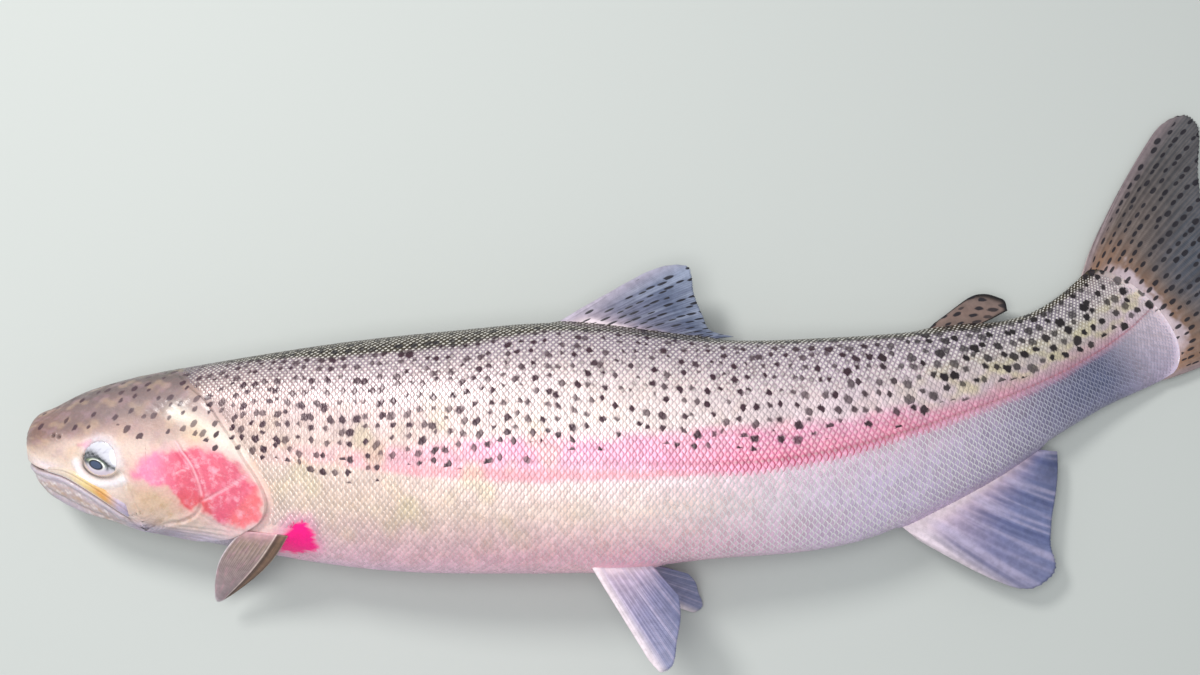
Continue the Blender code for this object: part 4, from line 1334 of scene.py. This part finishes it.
def build_paired_fins(fins, lengths, rays, colours, material):
    for name, (side, root, first, last, curl, bow) in fins.items():
        start, end = (body(np.array(a), side * turn_at_height(a, h)) for a, h in root)
        fin = fin_sheet(name + "_fin", paired_middle(start, end, first, last, lengths, curl, bow), colours,
                        material, rays, rays * 17 + 1, web=0.75)
        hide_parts("fin_" + name)


def build_fins():
    spotted, plain = fin_material("spotted_fin", dashes), fin_material("pale_fin")
    fleshy = fin_material("adipose_fin", lambda n: spots(n, "ink"))
    dorsal = fin_sheet("dorsal_fin", middle_fin(**DORSAL), dorsal_colour, spotted, 13, 248,
                       thick=(2, 0.6), ink=dorsal_ink, dash=(6.6, 0.4, 0.14))
    adipose = fin_sheet("adipose_fin", middle_fin(**ADIPOSE), adipose_colour, fleshy, 0, 60, 40,
                        thick=(3.2, 1.2), ink=adipose_ink, dash=(6.4, 0.36, 0.25), ragged=0)
    anal = fin_sheet("anal_fin", middle_fin(**ANAL), anal_fin_colour, plain, 13, 248, web=0.78)
    tail = fin_sheet("tail_fin", tail_middle, caudal_colour, spotted, 20, 341, 64,
                     thick=(2.8, 0.6), ink=caudal_ink, dash=(6.2, 0.34, 0.16))
    for fin, slot, node in ((dorsal, "spotted_fin", "fin_dorsal"), (adipose, "spotted_back", "fin_adipose"),
                            (anal, "pale_fin", "fin_anal"), (tail, "spotted_fin", "fin_caudal")):
        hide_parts(node)
    build_paired_fins(PECTORALS, PECTORAL_LENGTHS, 12, pectoral_colour, plain)
    build_paired_fins(PELVICS, PELVIC_LENGTHS, 10, pale_fin_colour, plain)


# ---- eyes and jaw bones

PUPIL_AT, PUPIL_HALF, PUPIL_TILT = (-1.8, -3.5), (3.9, 2.2), -18  # mm and degrees
IRIS_EDGE = eye_line((-9.6, 0.6), (-7.4, 2.4), (-4.2, 2.3), (-1, 0.7), (2.2, -1.6), (5.2, -3.5),
                     (9.6, -6.3))
EYEBALL_REACH, EYEBALL_WIDTH, EYEBALL_RISE, EYEBALL_SEAT, EYEBALL_SKIRT = 11, 12.5, 4.2, 3.4, 3.5  # mm


def eye_colour(x, y):
    """(colours, ring) over the eyeball, turned down so that its pale upper side shows, with a painted
    highlight arc over the pupil. x and y are in mm.
    """
    turn = np.radians(PUPIL_TILT)
    dx, dy = x - PUPIL_AT[0], y - PUPIL_AT[1]
    px = (dx * np.cos(turn) + dy * np.sin(turn)) / PUPIL_HALF[0]
    py = (-dx * np.sin(turn) + dy * np.cos(turn)) / PUPIL_HALF[1]
    ring = np.hypot(px, py)
    d, where = line_distance(IRIS_EDGE, EYE_ALONG + x / FISH_MM, EYE_HEIGHT + y / FISH_MM)
    mottle = 0.75 + 0.25 * wobble(x * 2.2, y * 2.2, 1)
    clouds = ease(0, 1.2, wobble(x * 0.5 + y * 0.3, y * 1.3 - x * 0.7, 3))
    return paint(
        np.broadcast_to(srgb(222, 222, 232), x.shape + (3,)),
        (176, 172, 190), clouds * 0.5,
        (204, 190, 204), ease(-3, -6.5, y + 0.3 * x) * 0.9,
        (96, 96, 104), bump(d, mix(3.4, 1.2, where)) * 0.7 * mottle,
        (30, 38, 36), bump(d, mix(1.7, 0.75, where)) * mottle,
        (50, 66, 58), bump(np.hypot((x + 6.4) / 2.8, (y + 1.4) / 2.2), 1) * 0.95,
        (40, 48, 50), bump(ring - 1.75, 0.22) * ease(-0.9, 0.1, py) * 0.8,
        (198, 204, 150), bump(np.hypot((x + 5.2) / 2.2, (y + 0.9) / 0.55), 1) * 0.7,
        (120, 136, 112), bump(ring - 1.46, 0.13) * ease(-0.2, 0.6, py) * 0.7,
        # painted highlight: a thin bright arc over the pupil
        (240, 244, 234), bump(ring - 1.25, 0.08) * ease(-0.9, 0.4, py + 0.5 * px) * 0.95,
        (236, 232, 240), bump(ring - 1.35, 0.12) * ease(-0.2, -0.8, py) * 0.6,
        (24, 28, 36), ease(1.16, 1.04, ring),
        (70, 84, 112), ease(0.98, 0.7, ring) * 0.95), ring


def build_eye(label, side, rings=56, spokes=144):
    """Eyeball seated in its socket: a low dome with a lens that stands out a little."""
    r = np.linspace(0.02, EYEBALL_REACH, rings)[:, None]
    angle = np.linspace(0, 2 * np.pi, spokes, endpoint=False)
    x, y = r * np.cos(angle), r * np.sin(angle)
    tint, ring = eye_colour(x, y)
    height = (EYEBALL_RISE * np.sqrt(1 - (np.hypot(x, y) / EYEBALL_WIDTH) ** 2) - EYEBALL_SEAT
              + 0.4 * bump(ring, 0.95) - 0.2 * bump(ring - 1.4, 0.25))
    turn = side * turn_at_height(EYE_ALONG, EYE_HEIGHT)
    centre, out = body(np.array(EYE_ALONG), turn), body_normal(np.array(EYE_ALONG), turn)
    back = body(np.array(EYE_ALONG + 0.002), turn) - centre
    back, up = unit(back), unit(np.cross(out, back) * side)
    points = centre + (x[..., None] * back + y[..., None] * up + height[..., None] * out) * MM
    skirt, hub = points[-1] - out * EYEBALL_SKIRT * MM, centre + out * height[0, 0] * MM
    points = np.concatenate([points.reshape(-1, 3), skirt, hub[None]])
    middle = np.arange(0, spokes, 2)
    fan = np.stack([np.full(len(middle), len(points) - 1), middle, middle + 1, (middle + 2) % spokes], 1)
    faces = np.concatenate([grid_quads(rings + 1, spokes, True)[:, ::-1], fan])
    tint = np.concatenate([tint.reshape(-1, 3), tint[-1], tint[0, :1]])
    piece = add_mesh("eyeball_" + label, points, faces[:, ::side], EYE_MATERIAL, tint=tint)
    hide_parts("eye_" + label)


JAW_BONE = [
    (0.02, 0.002), (0.03, 0.0065), (0.045, 0.01), (0.062, 0.0115), (0.08, 0.0125), (0.092, 0.0125),
    (0.0985, 0.009), (0.101, 0.001)]


def jaw_bone_colour(t, r):
    return paint(
        shades(t, (0, (214, 196, 192)), (0.3, (222, 206, 190)), (0.5, (232, 208, 150)),
               (0.72, (224, 178, 112)), (0.86, (196, 180, 204)), (1, (182, 172, 202))),
        (216, 148, 70), bump(t - 0.69, 0.08) * bump(r - 0.55, 0.25) * 0.85,
        # painted shade along the crease of the plate
        (150, 120, 104), bump(r - 0.62, 0.05) * 0.35,
        (236, 226, 232), ease(0.3, 0.05, r) * 0.8)


def build_jaw_bone(name, side, columns=90, rows=22):
    """Upper jaw bone: a long plate that overlaps the mouth line, rounded at its rear end."""
    t, r = np.meshgrid(np.linspace(0, 1, columns), np.linspace(0, 1, rows), indexing="xy")
    along = mix(JAW_BONE[0][0], JAW_BONE[-1][0], t)
    height = curve(MOUTH_LINE, along) - 0.0004 + curve(JAW_BONE, along) * r
    turn = turn_at_height(along, height) * side
    crown = np.sqrt(np.maximum(1 - np.abs(2 * r - 1) ** 3, 0)) * span(0, 0.1, 0.93, 1, t)
    crease = 0.35 * bump(r - 0.62, 0.06) * span(0.15, 0.3, 0.85, 0.95, t)
    points = on_body(along, turn, 2 * crown - 1.2 - crease).reshape(-1, 3)
    piece = add_mesh(name + "_plate", points, grid_quads(rows, columns)[:, ::side], SKIN_PLAIN,
                     tint=jaw_bone_colour(t, r).reshape(-1, 3), ink=np.zeros(len(points)))
    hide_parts(name)


# ---- camera, light and floor

FOCAL, SENSOR = 50.0, 36.0
VIEW_WIDTH = 0.662  # metres across the picture at the fish's middle plane
VIEW_CENTRE = Vector((-0.0559, 0.0237, 0.033))
VIEW_ELEVATION = 84
FLOOR_HALF = 3
FLOOR_COLOUR, SKY_COLOUR, SKY_STRENGTH = (0.56, 0.59, 0.57, 1), (0.92, 0.96, 1, 1), 0.42
# Lamps: name, place, width in metres, power in watts, and colour
LAMPS = [
    ("overhead", (-0.3, -0.1, 1.5), 1, 11, (1, 0.99, 0.98)),
    ("key", (-0.8, 0.7, 1.1), 0.4, 11, (1, 0.98, 0.96))]


def put_in_scene(name, data, place_at=(0, 0, 0), towards=None):
    """An object in the scene. A lamp or camera looks from its place against towards."""
    piece = bpy.data.objects.new(name, data)
    piece.location = place_at
    if towards:
        piece.rotation_euler = (-towards).to_track_quat("-Z", "Y").to_euler()
    bpy.context.scene.collection.objects.link(piece)
    return piece


def build_camera():
    data = bpy.data.cameras.new("camera")
    data.lens, data.sensor_width = FOCAL, SENSOR
    up = np.radians(VIEW_ELEVATION)
    towards = Vector((0, -np.cos(up), np.sin(up)))
    place_at = VIEW_CENTRE + towards * (VIEW_WIDTH * FOCAL / SENSOR)
    bpy.context.scene.camera = put_in_scene("camera", data, place_at, towards)


def build_lamps():
    for name, place_at, size, power, colour in LAMPS:
        data = bpy.data.lights.new(name, "AREA")
        data.shape, data.size, data.energy, data.color = "DISK", size, power, colour
        put_in_scene(name, data, place_at, Vector(place_at))
    world = bpy.data.worlds.new("studio")
    bpy.context.scene.world = world
    world.use_nodes = True
    sky = world.node_tree.nodes["Background"].inputs
    sky["Color"].default_value, sky["Strength"].default_value = SKY_COLOUR, SKY_STRENGTH
    bpy.context.scene.view_settings.view_transform = "Standard"


def build_floor():
    mesh = bpy.data.meshes.new("floor")
    corners = [(x * FLOOR_HALF, y * FLOOR_HALF, 0) for x, y in ((-1, -1), (1, -1), (1, 1), (-1, 1))]
    mesh.from_pydata(corners, [], [(0, 1, 2, 3)])
    mesh.materials.append(Nodes("floor").finish({"Base Color": FLOOR_COLOUR, "Roughness": 0.8}))
    put_in_scene("floor", mesh)


EYE_MATERIAL = eye_material()
SKIN_PLAIN = flesh_material("wet_jaw", False)
build_skin()
build_scales()
build_fins()
for label, way in (("left", 1), ("right", -1)):
    build_eye(label, way)
    build_jaw_bone("maxilla_" + label, way)
build_camera()
build_floor()
build_lamps()
